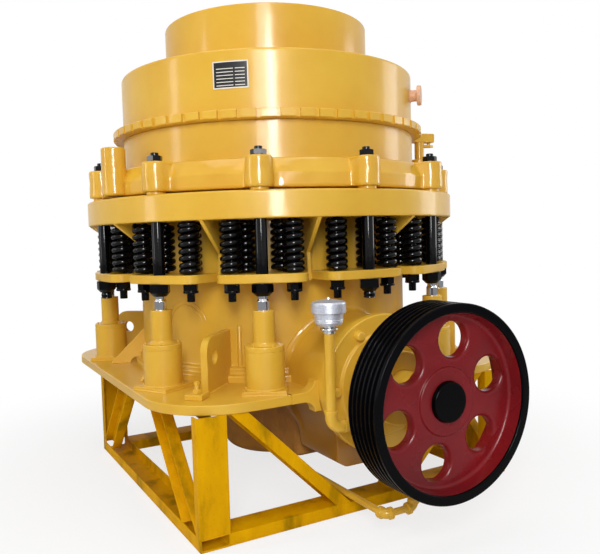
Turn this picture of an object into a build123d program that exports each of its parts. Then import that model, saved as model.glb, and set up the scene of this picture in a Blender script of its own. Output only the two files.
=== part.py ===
from build123d import *
import math
import os

# Cone crusher with spring release, standing on a welded channel frame
# Millimetres. Origin on the crusher's vertical axis at floor level,
# +X along the countershaft towards the drive sheave, +Z up.

# Heights above the floor
HUB_BOTTOM_Z = 85.0
PLATE_BOTTOM_Z = 515.0
BASE_PLATE_T = 39.0
SHAFT_Z = 565.0
SPRING_SEAT_Z = 1037.0
FLANGE_BOTTOM_Z = 1263.0
FLANGE_T = 114.0
FLANGE_GAP = 13.0
LOBE_RING_H = 125.0
LOBE_WALL_H = 60.0
NECK_H = 169.0
TOOTH_RING_T = 39.0
CAP_H = 262.0
HOPPER_H = 261.0

# Radii about the vertical axis, each worked outwards or inwards from the body
BODY_R = 691.0
FLANGE_REACH = 249.0
FLANGE_MARGIN = 48.0
LOBE_SETBACK = 18.0
LOBE_SLOPE = 34.0
NECK_STEP = 61.0
TOOTH_RING_STEP = 50.0
CAP_STEP = 60.0
HOPPER_R = 523.0
HOPPER_WALL = 16.0
THROAT_R = 440.0
CHAMBER_WALL = 81.0
NECK_WALL = 222.0
HUB_R = 287.0

# Bolt groups and small running clearances
GROUPS = 12
BOLT_R = 25.5
BOSS_R = 57.0
FIT_GAP = 0.05
HOLE_GAP = 0.5
SLIDE_GAP = 1.5
SEAT_GAP = 0.3
COLLAR_R = 40.0
TALL_BOSS_R = 54.0
TALL_BOSS_H = 90.0
TALL_BOSS_DEG = (281.0, 78.0)
PAWL_L = 168.0
PAWL_W = 60.0
PAWL_H = 50.0
PAWL_POST_R = 27.0
PAWL_CLEARANCE = 8.0
PAWL_LIFT = 17.0

# Spring plates, springs and the nuts below them
SPRING_PLATE_T = 37.0
SPRING_PLATE_MARGIN = 30.0
SPRING_PLATE_DEPTH = 210.0
SPRING_PLATE_HALF_DEG = 12.2
SPRING_PLATE_CORNER = 50.0
SPRING_R = 47.5
SPRING_FRONT_SETBACK = 47.0
SPRING_FRONT_T = 130.0
SPRING_ROW_PITCH = 80.0
SPRING_REAR_T = 76.0
PLATE_NUT_R = 45.0
PLATE_NUT_H = 53.0
PLAIN_END = 30.0
TOP_NUT_R = 33.5
TOP_NUT_H = 26.0
TOP_END_R = 16.0
TOP_END_H = 14.0
STUD_R = 17.0
STUD_LENGTH = 78.0
STUD_NUT_R = 33.0
STUD_NUT_H = 42.0
RIB_T = 18.0
RIB_FOOT = 66.0
RIB_KNEE = 52.0
RIB_KNEE_DROP = 146.0
RIB_DROP = 268.0

# Release cylinders
CYLINDER_R = 81.5
CYLINDER_H = 192.0
SLEEVE_R = 45.0
SLEEVE_H = 143.0
PAD_SIDE = 178.0
PAD_T = 16.0
ROD_R = 23.5
ROD_SUNK = 239.0

# Base plate and what stands on it
PLATE_INSET = 38.0
PLATE_CORNER_R = 320.0
NOTCH_HALF = 395.0
NOTCH_DEPTH = 52.0
FOOT_BAND = 22.0
FOOT_BAND_H = 31.0
LUG_MARGIN = 15.0
LUG_H = 230.0
LUG_T = 31.0
LUG_CORNER_R = 65.0
LUG_HOLE_R = 30.0
LUG_HOLE_IN = 77.0
LUG_HOLE_DROP = 89.0
CLAMP_OUT = 76.0
CLAMP_SIDE = 74.0
CLAMP_T = 22.0
CLAMP_BOLT_R = 9.0
CLAMP_BOLT_L = 48.0
CLAMP_HEAD_R = 18.0
CLAMP_HEAD_H = 16.0
GUSSET_DEG = 18.0
GUSSET_SIDE = 174.0
GUSSET_HOLE_R = 45.0

# Countershaft drive
HOUSING_R = 273.0
HOUSING_ROOT_X = 600.0
HOUSING_END_X = 947.0
DOME_R = 300.0
DOME_END_SLOPE = 0.1
SUMP_HALF = 215.0
SUMP_DEPTH = 334.0
SUMP_FILLET = 60.0
COVER_R = 291.0
COVER_T = 40.0
COVER_STEP_R = 215.0
COVER_STEP_T = 12.0
SEAL_R = 150.0
SEAL_END_X = 1110.0
SHAFT_R = 75.0
SHAFT_START_X = 800.0
SHAFT_END_GAP = 1.0
WEB_BRACKET_T = 40.0
WEB_BRACKET_RISE = 45.0
CASE_H = 330.0
HUB_FILLET = 30.0
SHEAVE_X = 1263.0
SHEAVE_W = 164.0
SHEAVE_R = 367.0
SHEAVE_LIP = 36.0
RIM_WALL = 18.0
RIM_TAPER = 6.0
GROOVES = 6
GROOVE_BACK_LAND = 5.0
GROOVE_PITCH = 25.5
GROOVE_DEPTH = 19.0
GROOVE_TOP_W = 17.0
GROOVE_FLOOR_W = 9.0
WEB_INSET = 65.0
WEB_T = 45.0
SHEAVE_HUB_R = 130.0
SHEAVE_HUB_L = 100.0
HUB_PROUD = 10.0
WEB_HOLES = 6
WEB_HOLE_R = 68.0
WEB_HOLE_PITCH_R = 230.0
WEB_HOLE_TURN = -11.3
SHAFT_PROUD = 28.0

# Toothed ring
TEETH = 60
TOOTH_DEPTH = 14.0
TOOTH_GAP_SHARE = 0.25

# Lifting pins and nameplate on the cap
TRUNNION_DEG = (45.0, 225.0)
TRUNNION_DROP = 112.0
TRUNNION_R = 49.0
TRUNNION_T = 20.0
TRUNNION_STEM_R = 28.0
TRUNNION_STEM_L = 36.0
NAMEPLATE_DEG = 321.0
NAMEPLATE_W = 156.0
NAMEPLATE_H = 116.0
NAMEPLATE_T = 2.5
NAMEPLATE_DROP = 109.0

# Crushing cone
CONE_GAP = 50.0
CONE_FOOT_H = 60.0
CONE_H = 347.0
CONE_TOP_R = 230.0
CONE_TOP_H = 40.0

# Pipes
VENT_X = 1081.0
VENT_Y = -324.0
VENT_R = 20.0
VENT_LOW_Z = 452.0
VENT_TOP_Z = 825.0
VENT_BEND = 40.0
VENT_CAP_R = 66.5
VENT_CAP_H = 58.0
VENT_CAP_ROUND_R = 40.0
VENT_CAP_ROUND_H = 15.0
VENT_DRUM_R = 57.0
VENT_DRUM_TAPER = 2.0
VENT_DRUM_H = 49.0
VENT_DISC_R = 34.5
VENT_DISC_H = 13.0
VENT_NECK_R = 22.0
VENT_NECK_H = 9.0
DRAIN_R = 12.5
DRAIN_Y = -141.0
DRAIN_Z = 99.0
DRAIN_START_X = 200.0
DRAIN_ELBOW_X = 1162.0
DRAIN_ACROSS = 140.0
DRAIN_RISE = 60.0
DRAIN_BEND = 28.0

# Channel stand
STAND_FRONT_X = 884.0
STAND_BACK_X = -640.0
STAND_HALF_Y = 796.0
CHANNEL_W = 126.0
CHANNEL_F = 50.0
CHANNEL_T = 8.0
END_BRACE_FOOT_Y = 150.0
SIDE_BRACE_TOPS = (310.0, -80.0)
SIDE_BRACE_RUN = 455.0

FLANGE_R = BODY_R + FLANGE_REACH
GROUP_R = FLANGE_R - FLANGE_MARGIN
LOBE_RING_R = GROUP_R - LOBE_SETBACK
NECK_R = BODY_R + NECK_STEP
TOOTH_RING_R = NECK_R + TOOTH_RING_STEP
CAP_R = BODY_R + CAP_STEP
CHAMBER_R = BODY_R - CHAMBER_WALL
SPRING_FRONT_R = GROUP_R - SPRING_FRONT_SETBACK
SPRING_REAR_R = SPRING_FRONT_R - SPRING_ROW_PITCH
SPRING_PLATE_R = GROUP_R + SPRING_PLATE_MARGIN
SPRING_PLATE_INNER_R = SPRING_PLATE_R - SPRING_PLATE_DEPTH
PLATE_HALF = FLANGE_R - PLATE_INSET
LUG_OUTER_R = FLANGE_R + LUG_MARGIN
SHEAVE_LIP_R = SHEAVE_R - SHEAVE_LIP

FLANGE_TOP_Z = FLANGE_BOTTOM_Z + FLANGE_T
LOBE_BOTTOM_Z = FLANGE_TOP_Z + FLANGE_GAP
LOBE_RING_TOP_Z = LOBE_BOTTOM_Z + LOBE_RING_H
TEETH_BOTTOM_Z = LOBE_RING_TOP_Z + NECK_H
TOOTH_RING_TOP_Z = TEETH_BOTTOM_Z + TOOTH_RING_T
CAP_TOP_Z = TOOTH_RING_TOP_Z + CAP_H
HOPPER_TOP_Z = CAP_TOP_Z + HOPPER_H
PLATE_TOP_Z = PLATE_BOTTOM_Z + BASE_PLATE_T
CYLINDER_TOP_Z = PLATE_TOP_Z + CYLINDER_H
SLEEVE_TOP_Z = CYLINDER_TOP_Z + SLEEVE_H
ROD_FOOT_Z = SLEEVE_TOP_Z - ROD_SUNK
SPRING_PLATE_BOTTOM_Z = SPRING_SEAT_Z - SPRING_PLATE_T
STEP_DEG = 360.0 / GROUPS

os.makedirs("parts", exist_ok=True)


def save(name, shape):
    """Write one node's solids to its own STEP file."""
    export_step(shape, "parts/" + name + ".step")


def ring(outer, inner, low, high):
    """Upright ring, or a disc where inner is 0."""
    body = Pos(0, 0, low) * Cylinder(outer, high - low, align=(Align.CENTER, Align.CENTER, Align.MIN))
    if inner > 0:
        body -= Pos(0, 0, low) * Cylinder(inner, high - low, align=(Align.CENTER, Align.CENTER, Align.MIN))
    return body


def bar_x(radius, start, end, y=0.0, z=SHAFT_Z):
    """Round bar along X."""
    place = Pos(start, y, z) * Rot(0, 90, 0)
    return place * Cylinder(radius, end - start, align=(Align.CENTER, Align.CENTER, Align.MIN))


def hexagon(radius, low, high):
    """Upright hexagonal prism, radius to the corners."""
    return extrude(Pos(0, 0, low) * RegularPolygon(radius, 6), high - low)


def at(angle, radius, shape):
    """Shape carried out along +X by radius, then round the vertical axis."""
    return Rot(0, 0, angle) * Pos(radius, 0, 0) * shape


def group_angles():
    return [STEP_DEG * i for i in range(GROUPS)]


def cylinder_angles():
    """The groups that have a release cylinder below them: all but the four on the axes."""
    return [a for a in group_angles() if a % 90 != 0]


def corner_angles():
    return [45.0, 135.0, 225.0, 315.0]


# Stand


def channel(length):
    """Channel along +X, web on the floor, flanges up, centred across Y."""
    web = Box(length, CHANNEL_W, CHANNEL_T, align=(Align.MIN, Align.CENTER, Align.MIN))
    side = Box(length, CHANNEL_T, CHANNEL_F, align=(Align.MIN, Align.CENTER, Align.MIN))
    reach = (CHANNEL_W - CHANNEL_T) / 2
    return web + Pos(0, reach, 0) * side + Pos(0, -reach, 0) * side


def side_rails():
    """Bottom rails along the left and right faces, full length, open upwards."""
    rails = []
    for side in (-1, 1):
        y = side * (STAND_HALF_Y - CHANNEL_W / 2)
        rails.append(Pos(STAND_BACK_X, y, 0) * channel(STAND_FRONT_X - STAND_BACK_X))
    return Compound(children=rails)


def end_rails():
    """Bottom rails across the front and back, between the side rails, open downwards."""
    rails = []
    length = 2 * (STAND_HALF_Y - CHANNEL_W)
    for x in (STAND_FRONT_X - CHANNEL_W / 2, STAND_BACK_X + CHANNEL_W / 2):
        rails.append(Pos(x, -length / 2, CHANNEL_F) * Rot(0, 0, 90) * Rot(180, 0, 0) * channel(length))
    return Compound(children=rails)


def legs():
    """Corner legs on the rails, webs in the front and back faces."""
    posts = []
    post = Rot(0, -90, 0) * channel(PLATE_BOTTOM_Z - CHANNEL_F)
    for side in (-1, 1):
        y = side * (STAND_HALF_Y - CHANNEL_W / 2)
        posts.append(Pos(STAND_FRONT_X, y, CHANNEL_F) * post)
        posts.append(Pos(STAND_BACK_X, y, CHANNEL_F) * Rot(0, 0, 180) * post)
    return Compound(children=posts)


def slanted(top_x, foot_x, width):
    """Face of a leaning bar from the rails to the base plate, cut level at both ends."""
    rise = PLATE_BOTTOM_Z - CHANNEL_F
    wide = width / 2 * math.hypot(rise, top_x - foot_x) / rise
    return make_face(
        Polyline(
            (foot_x - wide, CHANNEL_F),
            (foot_x + wide, CHANNEL_F),
            (top_x + wide, PLATE_BOTTOM_Z),
            (top_x - wide, PLATE_BOTTOM_Z),
            close=True,
        )
    )


def edgewise_brace(top_x, foot_x):
    """Leaning channel on edge: one flange in the face, web on the upper side, open below."""
    rise = PLATE_BOTTOM_Z - CHANNEL_F
    wall = CHANNEL_T * math.hypot(rise, top_x - foot_x) / rise
    below = -wall if top_x > foot_x else wall
    face = slanted(top_x, foot_x, CHANNEL_F)
    bar = extrude(face, CHANNEL_W)
    pocket = Pos(-below, 0, CHANNEL_T) * extrude(face, CHANNEL_W - 2 * CHANNEL_T)
    return Rot(90, 0, 0) * (bar - pocket)


def flat_brace(top_x, foot_x):
    """Leaning channel lying in the face, web inside, lips outwards."""
    bar = extrude(slanted(top_x, foot_x, CHANNEL_W), CHANNEL_F)
    pocket = extrude(slanted(top_x, foot_x, CHANNEL_W - 2 * CHANNEL_T), CHANNEL_F - CHANNEL_T)
    return Rot(90, 0, 0) * (bar - pocket)


def end_braces():
    """V braces: from the top corners down to the middle of the end rails."""
    pieces = []
    reach_top = STAND_HALF_Y - CHANNEL_W - CHANNEL_F
    for side in (-1, 1):
        leaning = edgewise_brace(side * reach_top, side * END_BRACE_FOOT_Y)
        pieces.append(Pos(STAND_FRONT_X, 0, 0) * Rot(0, 0, -90) * leaning)
        pieces.append(Pos(STAND_BACK_X, 0, 0) * Rot(0, 0, 90) * leaning)
    return Compound(children=pieces)


def side_braces():
    """Raked braces: from the bottom corners up to the middle of the side faces."""
    between = Pos(STAND_BACK_X + CHANNEL_F, 0, 0) * Box(
        STAND_FRONT_X - STAND_BACK_X - 2 * CHANNEL_F,
        2 * STAND_HALF_Y,
        PLATE_BOTTOM_Z,
        align=(Align.MIN, Align.CENTER, Align.MIN),
    )
    pieces = []
    for top_x, run in ((SIDE_BRACE_TOPS[0], SIDE_BRACE_RUN), (SIDE_BRACE_TOPS[1], -SIDE_BRACE_RUN)):
        right = Pos(0, STAND_HALF_Y, 0) * flat_brace(top_x, top_x + run) & between
        left = Pos(0, -STAND_HALF_Y, 0) * Rot(0, 0, 180) * flat_brace(-top_x, -top_x - run) & between
        pieces += [right, left]
    return Compound(children=pieces)


# Main frame


def housing_block(gap):
    """Space of the drive housing, grown by a gap all round."""
    tube = bar_x(HOUSING_R + gap, HOUSING_ROOT_X, HOUSING_END_X)
    low = Pos(HOUSING_ROOT_X, 0, SHAFT_Z) * Box(
        HOUSING_END_X - HOUSING_ROOT_X,
        2 * (SUMP_HALF + gap),
        SUMP_DEPTH + gap,
        align=(Align.MIN, Align.CENTER, Align.MAX),
    )
    low = fillet(low.edges().filter_by(Axis.X).group_by(Axis.Z)[0], SUMP_FILLET)
    reach = HOUSING_END_X - HOUSING_ROOT_X
    bulge = DOME_R - HOUSING_R
    with BuildSketch(Plane.XZ) as half:
        with BuildLine():
            Polyline((reach * 0.7, HOUSING_R + gap), (reach * 0.7, 0), (0, 0), (0, DOME_R + gap))
            Spline(
                (0, DOME_R + gap),
                (reach * 0.35, DOME_R + gap - bulge * 0.2),
                (reach * 0.7, HOUSING_R + gap),
                tangents=[(1, 0), (1, -DOME_END_SLOPE)],
            )
        make_face()
    dome = Pos(HOUSING_ROOT_X, 0, SHAFT_Z) * revolve(half.sketch, Axis.X)
    above = Pos(0, 0, PLATE_BOTTOM_Z - gap) * Box(
        2 * HOUSING_END_X, 4 * DOME_R, 2 * DOME_R, align=(Align.CENTER, Align.CENTER, Align.MIN)
    )
    return tube + low + (dome & above)


def drive_housing():
    """Countershaft box: domed root, tube, squarish sump below, shaft bore, pads let into its sides."""
    body = housing_block(0)
    side = PAD_SIDE + 2 * SEAT_GAP
    low = (Align.CENTER, Align.CENTER, Align.MIN)
    pad = Pos(0, 0, PLATE_TOP_Z) * Box(side, side, PAD_T + SEAT_GAP, align=low)
    body -= [at(angle, GROUP_R, pad) for angle in cylinder_angles()]
    body -= bar_x(SHAFT_R + FIT_GAP, SHAFT_START_X, HOUSING_END_X)
    return body


def base_plate():
    """Square plate with rounded corners, notched where the drive housing passes."""
    outline = RectangleRounded(2 * PLATE_HALF, 2 * PLATE_HALF, PLATE_CORNER_R)
    plate = extrude(Pos(0, 0, PLATE_BOTTOM_Z) * outline, BASE_PLATE_T)
    notch = Pos(PLATE_HALF - NOTCH_DEPTH, 0, PLATE_BOTTOM_Z) * Box(
        NOTCH_DEPTH, 2 * NOTCH_HALF, BASE_PLATE_T, align=(Align.MIN, Align.CENTER, Align.MIN)
    )
    return plate - notch - housing_block(SEAT_GAP)


def web_brackets():
    """Flaring brackets from the plate's notch to both sides of the drive housing."""
    outer = NOTCH_HALF
    inner = SUMP_HALF
    knee = HOUSING_R + SUMP_FILLET
    rise = WEB_BRACKET_RISE
    with BuildSketch() as side:
        with BuildLine():
            Line((outer, 0), (outer, BASE_PLATE_T))
            Line((outer, BASE_PLATE_T), (knee, BASE_PLATE_T))
            top = ThreePointArc(
                (knee, BASE_PLATE_T),
                ((knee + HOUSING_R) / 2 - rise / 8, BASE_PLATE_T + rise / 4),
                (HOUSING_R, BASE_PLATE_T + rise),
            )
            Line(top @ 1, (inner, BASE_PLATE_T + rise))
            Line((inner, BASE_PLATE_T + rise), (inner, -rise))
            Line((inner, -rise), (HOUSING_R - rise / 4, -rise))
            low = ThreePointArc(
                (HOUSING_R - rise / 4, -rise),
                ((knee + HOUSING_R) / 2 - rise / 8, -rise / 4),
                (knee, 0),
            )
            Line(low @ 1, (outer, 0))
        make_face()
    web = Rot(0, 0, 90) * Rot(90, 0, 0) * extrude(side.sketch, WEB_BRACKET_T)
    web = Pos(PLATE_HALF - WEB_BRACKET_T, 0, PLATE_BOTTOM_Z) * web - housing_block(SEAT_GAP)
    return Compound(children=[web, mirror(web, Plane.XZ)])


def body_space(gap):
    """Space of the cylindrical body and its two foot bands, grown by a gap."""
    top = FLANGE_BOTTOM_Z
    wide = ring(BODY_R + 2 * FOOT_BAND + gap, 0, PLATE_TOP_Z, PLATE_TOP_Z + FOOT_BAND_H + gap)
    middle = ring(BODY_R + FOOT_BAND + gap, 0, PLATE_TOP_Z, PLATE_TOP_Z + 2 * FOOT_BAND_H + gap)
    return ring(BODY_R + gap, 0, PLATE_TOP_Z, top) + middle + wide


def frame_shell():
    """Cylindrical body with two stepped bands at its foot, closed on top by the flange."""
    return body_space(0) - housing_block(SEAT_GAP)


def lower_hub():
    """Eccentric housing below the base plate, with a rounded bottom edge and the gear case."""
    hub = ring(HUB_R, 0, HUB_BOTTOM_Z, PLATE_BOTTOM_Z)
    hub = fillet(hub.edges().group_by(Axis.Z)[0], HUB_FILLET)
    case = Pos(0, 0, PLATE_BOTTOM_Z) * Box(
        HOUSING_ROOT_X, 2 * SUMP_HALF, CASE_H, align=(Align.MIN, Align.CENTER, Align.MAX)
    )
    boss = Pos(HUB_R + BOSS_R, 0, 0) * ring(2 * BOSS_R, 0, PLATE_BOTTOM_Z - CASE_H - BOSS_R, PLATE_BOTTOM_Z)
    boss = fillet(boss.edges().group_by(Axis.Z)[0], HUB_FILLET)
    return hub + case + boss


def spring_flange():
    """Heavy top flange that the adjustment ring sits on, with the guide bolt holes."""
    flange = ring(FLANGE_R, CHAMBER_R, FLANGE_BOTTOM_Z, FLANGE_TOP_Z)
    for angle in group_angles():
        flange -= at(angle, GROUP_R, ring(BOLT_R + SLIDE_GAP, 0, FLANGE_BOTTOM_Z, FLANGE_TOP_Z))
    return flange


def frame_ribs():
    """Tapered ribs under the flange, between the bolt groups."""
    outline = make_face(
        Polyline(
            (BODY_R + SEAT_GAP, FLANGE_BOTTOM_Z),
            (FLANGE_R, FLANGE_BOTTOM_Z),
            (BODY_R + RIB_KNEE, FLANGE_BOTTOM_Z - RIB_KNEE_DROP),
            (BODY_R + RIB_FOOT, FLANGE_BOTTOM_Z - RIB_DROP),
            (BODY_R + SEAT_GAP, FLANGE_BOTTOM_Z - RIB_DROP),
            close=True,
        )
    )
    rib = Rot(90, 0, 0) * extrude(outline, RIB_T / 2, both=True)
    return Compound(children=[Rot(0, 0, angle + STEP_DEG / 2) * rib for angle in group_angles()])


def mantle():
    """Crushing cone inside the chamber, with its feed plate on top."""
    foot_r = CHAMBER_R - CONE_GAP
    top_z = FLANGE_BOTTOM_Z + CONE_H
    with BuildPart() as cone:
        with BuildSketch(Plane.XZ):
            with BuildLine():
                Polyline(
                    (0, FLANGE_BOTTOM_Z),
                    (foot_r, FLANGE_BOTTOM_Z),
                    (foot_r, FLANGE_BOTTOM_Z + CONE_FOOT_H),
                    (CONE_TOP_R, top_z - CONE_TOP_H),
                    (CONE_TOP_R, top_z),
                    (0, top_z),
                    close=True,
                )
            make_face()
        revolve(axis=Axis.Z)
    return cone.part


def lifting_lugs():
    """Four upright plates on the base plate's corners, each with a hole and a rounded corner."""
    lug = Pos(BODY_R, 0, PLATE_TOP_Z) * Box(
        LUG_OUTER_R - BODY_R, LUG_T, LUG_H, align=(Align.MIN, Align.CENTER, Align.MIN)
    )
    lug = fillet(lug.edges().filter_by(Axis.Y).group_by(Axis.Z)[-1].sort_by(Axis.X)[-1], LUG_CORNER_R)
    hole = Pos(LUG_OUTER_R - LUG_HOLE_IN, 0, PLATE_TOP_Z + LUG_H - LUG_HOLE_DROP) * Rot(90, 0, 0)
    lug = lug - hole * Cylinder(LUG_HOLE_R, LUG_T) - body_space(SEAT_GAP)
    return Compound(children=[Rot(0, 0, angle) * lug for angle in corner_angles()])


def frame_gussets():
    """Triangular gussets with a mouse-hole, in pairs on the left and right of the body."""
    outline = Polyline(
        (BODY_R, PLATE_TOP_Z),
        (BODY_R + GUSSET_SIDE, PLATE_TOP_Z),
        (BODY_R, PLATE_TOP_Z + GUSSET_SIDE),
        close=True,
    )
    gusset = Rot(90, 0, 0) * extrude(make_face(outline), RIB_T / 2, both=True)
    mouse = Pos(BODY_R + 2 * FOOT_BAND, 0, PLATE_TOP_Z) * Rot(90, 0, 0)
    gusset = gusset - mouse * Cylinder(GUSSET_HOLE_R, RIB_T) - body_space(SEAT_GAP)
    angles = [side + turn for side in (90.0, 270.0) for turn in (-GUSSET_DEG, GUSSET_DEG)]
    return Compound(children=[Rot(0, 0, angle) * gusset for angle in angles])


def corner_clamps():
    """Clamp block with its bolt head on each corner of the base plate."""
    block = Pos(0, 0, PLATE_TOP_Z) * Box(
        CLAMP_SIDE, CLAMP_SIDE, CLAMP_T, align=(Align.CENTER, Align.CENTER, Align.MIN)
    )
    top = PLATE_TOP_Z + CLAMP_T
    bolt = hexagon(CLAMP_HEAD_R, top, top + CLAMP_HEAD_H)
    stem = ring(CLAMP_BOLT_R, 0, top, top + CLAMP_BOLT_L)
    clamp = block + bolt + stem
    return Compound(children=[at(angle, LUG_OUTER_R + CLAMP_OUT, clamp) for angle in corner_angles()])


def release_cylinders():
    """Cylinder, pad and sleeve below each group, bored for its rod."""
    low = (Align.CENTER, Align.CENTER, Align.MIN)
    pad = Pos(0, 0, PLATE_TOP_Z) * Box(PAD_SIDE, PAD_SIDE, PAD_T, align=low)
    lower = ring(CYLINDER_R, 0, PLATE_TOP_Z, CYLINDER_TOP_Z)
    upper = ring(SLEEVE_R, 0, PLATE_TOP_Z, SLEEVE_TOP_Z)
    bore = ring(ROD_R + FIT_GAP, 0, ROD_FOOT_Z, SLEEVE_TOP_Z)
    one = pad + lower + upper - bore
    return Compound(children=[at(angle, GROUP_R, one) for angle in cylinder_angles()])


def springs(first):
    """Springs of three neighbouring groups, each as its outer cylinder."""
    coils = []
    for step in range(3):
        angle = first + step * STEP_DEG
        for radius, offset_t in ((SPRING_FRONT_R, SPRING_FRONT_T), (SPRING_REAR_R, SPRING_REAR_T)):
            for side in (-1, 1):
                coil = Pos(radius, side * offset_t, 0) * ring(SPRING_R, 0, SPRING_SEAT_Z, FLANGE_BOTTOM_Z)
                coils.append(Rot(0, 0, angle) * coil)
    return Compound(children=coils)


# What lifts with the adjustment ring


def adjustment_ring():
    """Ring with a sloping shoulder, a lobe at every guide bolt, its seat on the flange and the bore."""
    wall_top = LOBE_BOTTOM_Z + LOBE_WALL_H
    body = ring(LOBE_RING_R, 0, LOBE_BOTTOM_Z, wall_top)
    body += Pos(0, 0, wall_top) * Cone(
        LOBE_RING_R,
        LOBE_RING_R - LOBE_SLOPE,
        LOBE_RING_TOP_Z - wall_top,
        align=(Align.CENTER, Align.CENTER, Align.MIN),
    )
    body += [at(a, GROUP_R, ring(BOSS_R, 0, LOBE_BOTTOM_Z, LOBE_RING_TOP_Z)) for a in group_angles()]
    body += ring(CHAMBER_R + CHAMBER_WALL * 2, 0, FLANGE_TOP_Z, LOBE_BOTTOM_Z)
    body -= [tall_boss(angle, SEAT_GAP) for angle in TALL_BOSS_DEG]
    for angle in group_angles():
        body -= at(angle, GROUP_R, ring(BOLT_R + HOLE_GAP, 0, LOBE_BOTTOM_Z, LOBE_RING_TOP_Z))
    return body - ring(CHAMBER_R, 0, FLANGE_TOP_Z, LOBE_RING_TOP_Z)


def clamping_neck():
    """Plain cylinder between the lobed ring and the toothed ring."""
    return ring(NECK_R, NECK_R - NECK_WALL, LOBE_RING_TOP_Z, TEETH_BOTTOM_Z)


def tall_boss(angle, gap):
    """Full-height pillar let into the lobed ring's edge, grown by a gap."""
    return at(angle, GROUP_R, ring(TALL_BOSS_R + gap, 0, LOBE_BOTTOM_Z, LOBE_RING_TOP_Z + TALL_BOSS_H))


def tall_bosses():
    """Two tall pillars in the lobed ring's edge, at the left and at the back."""
    return Compound(children=[tall_boss(angle, 0) for angle in TALL_BOSS_DEG])


def locking_pawl():
    """Pawl block on a short post, pointing at the teeth of the ring above."""
    post_top = TEETH_BOTTOM_Z + PAWL_LIFT
    post = ring(PAWL_POST_R, 0, LOBE_RING_TOP_Z + TALL_BOSS_H, post_top)
    inner = TOOTH_RING_R + PAWL_CLEARANCE - GROUP_R
    block = Pos(inner, 0, post_top) * Box(PAWL_L, PAWL_W, PAWL_H, align=(Align.MIN, Align.CENTER, Align.MIN))
    return at(TALL_BOSS_DEG[1], GROUP_R, post + block)


def seat_collars():
    """Collar round each guide bolt, in the slot between flange and lobes."""
    collar = ring(COLLAR_R, BOLT_R + HOLE_GAP, FLANGE_TOP_Z, LOBE_BOTTOM_Z)
    return Compound(children=[at(angle, GROUP_R, collar) for angle in group_angles()])


def guide_bolts():
    """Long bolts from the lobes through the flange to the spring plates."""
    bolt = ring(BOLT_R, 0, SPRING_PLATE_BOTTOM_Z, LOBE_RING_TOP_Z)
    return Compound(children=[at(angle, GROUP_R, bolt) for angle in group_angles()])


def top_nuts():
    """Hexagon and thread end on each lobe."""
    end = LOBE_RING_TOP_Z + TOP_NUT_H
    nut = hexagon(TOP_NUT_R, LOBE_RING_TOP_Z, end) + ring(TOP_END_R, 0, end, end + TOP_END_H)
    return Compound(children=[at(angle, GROUP_R, nut) for angle in group_angles()])


def polar(radius, angle):
    return (radius * math.cos(math.radians(angle)), radius * math.sin(math.radians(angle)))


def spring_plates():
    """Twelve plates that carry the springs, one for each group."""
    half = SPRING_PLATE_HALF_DEG
    sector = make_face(
        [
            CenterArc((0, 0), SPRING_PLATE_R, -half, 2 * half),
            CenterArc((0, 0), SPRING_PLATE_INNER_R, -half, 2 * half),
            Line(polar(SPRING_PLATE_INNER_R, -half), polar(SPRING_PLATE_R, -half)),
            Line(polar(SPRING_PLATE_INNER_R, half), polar(SPRING_PLATE_R, half)),
        ]
    )
    sector = fillet(sector.vertices().sort_by(Axis.X)[-2:], SPRING_PLATE_CORNER)
    plate = extrude(Pos(0, 0, SPRING_PLATE_BOTTOM_Z) * sector, SPRING_PLATE_T)
    plate -= Pos(GROUP_R, 0, 0) * ring(BOLT_R + HOLE_GAP, 0, SPRING_PLATE_BOTTOM_Z, SPRING_SEAT_Z)
    return Compound(children=[Rot(0, 0, angle) * plate for angle in group_angles()])


def plate_nuts():
    """Big nut below every plate; those with no cylinder end in a short thread."""
    low = SPRING_PLATE_BOTTOM_Z - PLATE_NUT_H
    nuts = []
    for angle in group_angles():
        nut = hexagon(PLATE_NUT_R, low, SPRING_PLATE_BOTTOM_Z)
        if angle not in cylinder_angles():
            nut += ring(BOLT_R, 0, low - PLAIN_END, low)
        nuts.append(at(angle, GROUP_R, nut))
    return Compound(children=nuts)


def release_rods():
    """Bright rods between the big nuts and the release cylinders."""
    top = SPRING_PLATE_BOTTOM_Z - PLATE_NUT_H
    rod = ring(ROD_R, 0, ROD_FOOT_Z, top)
    return Compound(children=[at(angle, GROUP_R, rod) for angle in cylinder_angles()])


def spring_studs():
    """Nut and thread end below each plate, under both outer springs."""
    low = SPRING_PLATE_BOTTOM_Z - STUD_NUT_H
    stud = hexagon(STUD_NUT_R, low, SPRING_PLATE_BOTTOM_Z)
    stud += ring(STUD_R, 0, SPRING_PLATE_BOTTOM_Z - STUD_LENGTH, low)
    studs = []
    for angle in group_angles():
        for side in (-1, 1):
            studs.append(Rot(0, 0, angle) * Pos(SPRING_FRONT_R, side * SPRING_FRONT_T, 0) * stud)
    return Compound(children=studs)


# What turns with the bowl


def toothed_ring():
    """Ring of square teeth by which the bowl is turned."""
    blank = ring(TOOTH_RING_R, THROAT_R, TEETH_BOTTOM_Z, TOOTH_RING_TOP_Z)
    gap_width = TOOTH_GAP_SHARE * 2 * math.pi * TOOTH_RING_R / TEETH
    gap = Pos(TOOTH_RING_R - TOOTH_DEPTH, 0, TEETH_BOTTOM_Z) * Box(
        2 * TOOTH_DEPTH, gap_width, TOOTH_RING_T, align=(Align.MIN, Align.CENTER, Align.MIN)
    )
    return blank - [Rot(0, 0, 360.0 / TEETH * i) * gap for i in range(TEETH)]


def bowl_cap():
    """Cylindrical cap over the bowl with the feed throat through it."""
    return ring(CAP_R, THROAT_R, TOOTH_RING_TOP_Z, CAP_TOP_Z)


def feed_hopper():
    """Open steel cylinder on the cap."""
    return ring(HOPPER_R, HOPPER_R - HOPPER_WALL, CAP_TOP_Z, HOPPER_TOP_Z)


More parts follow.
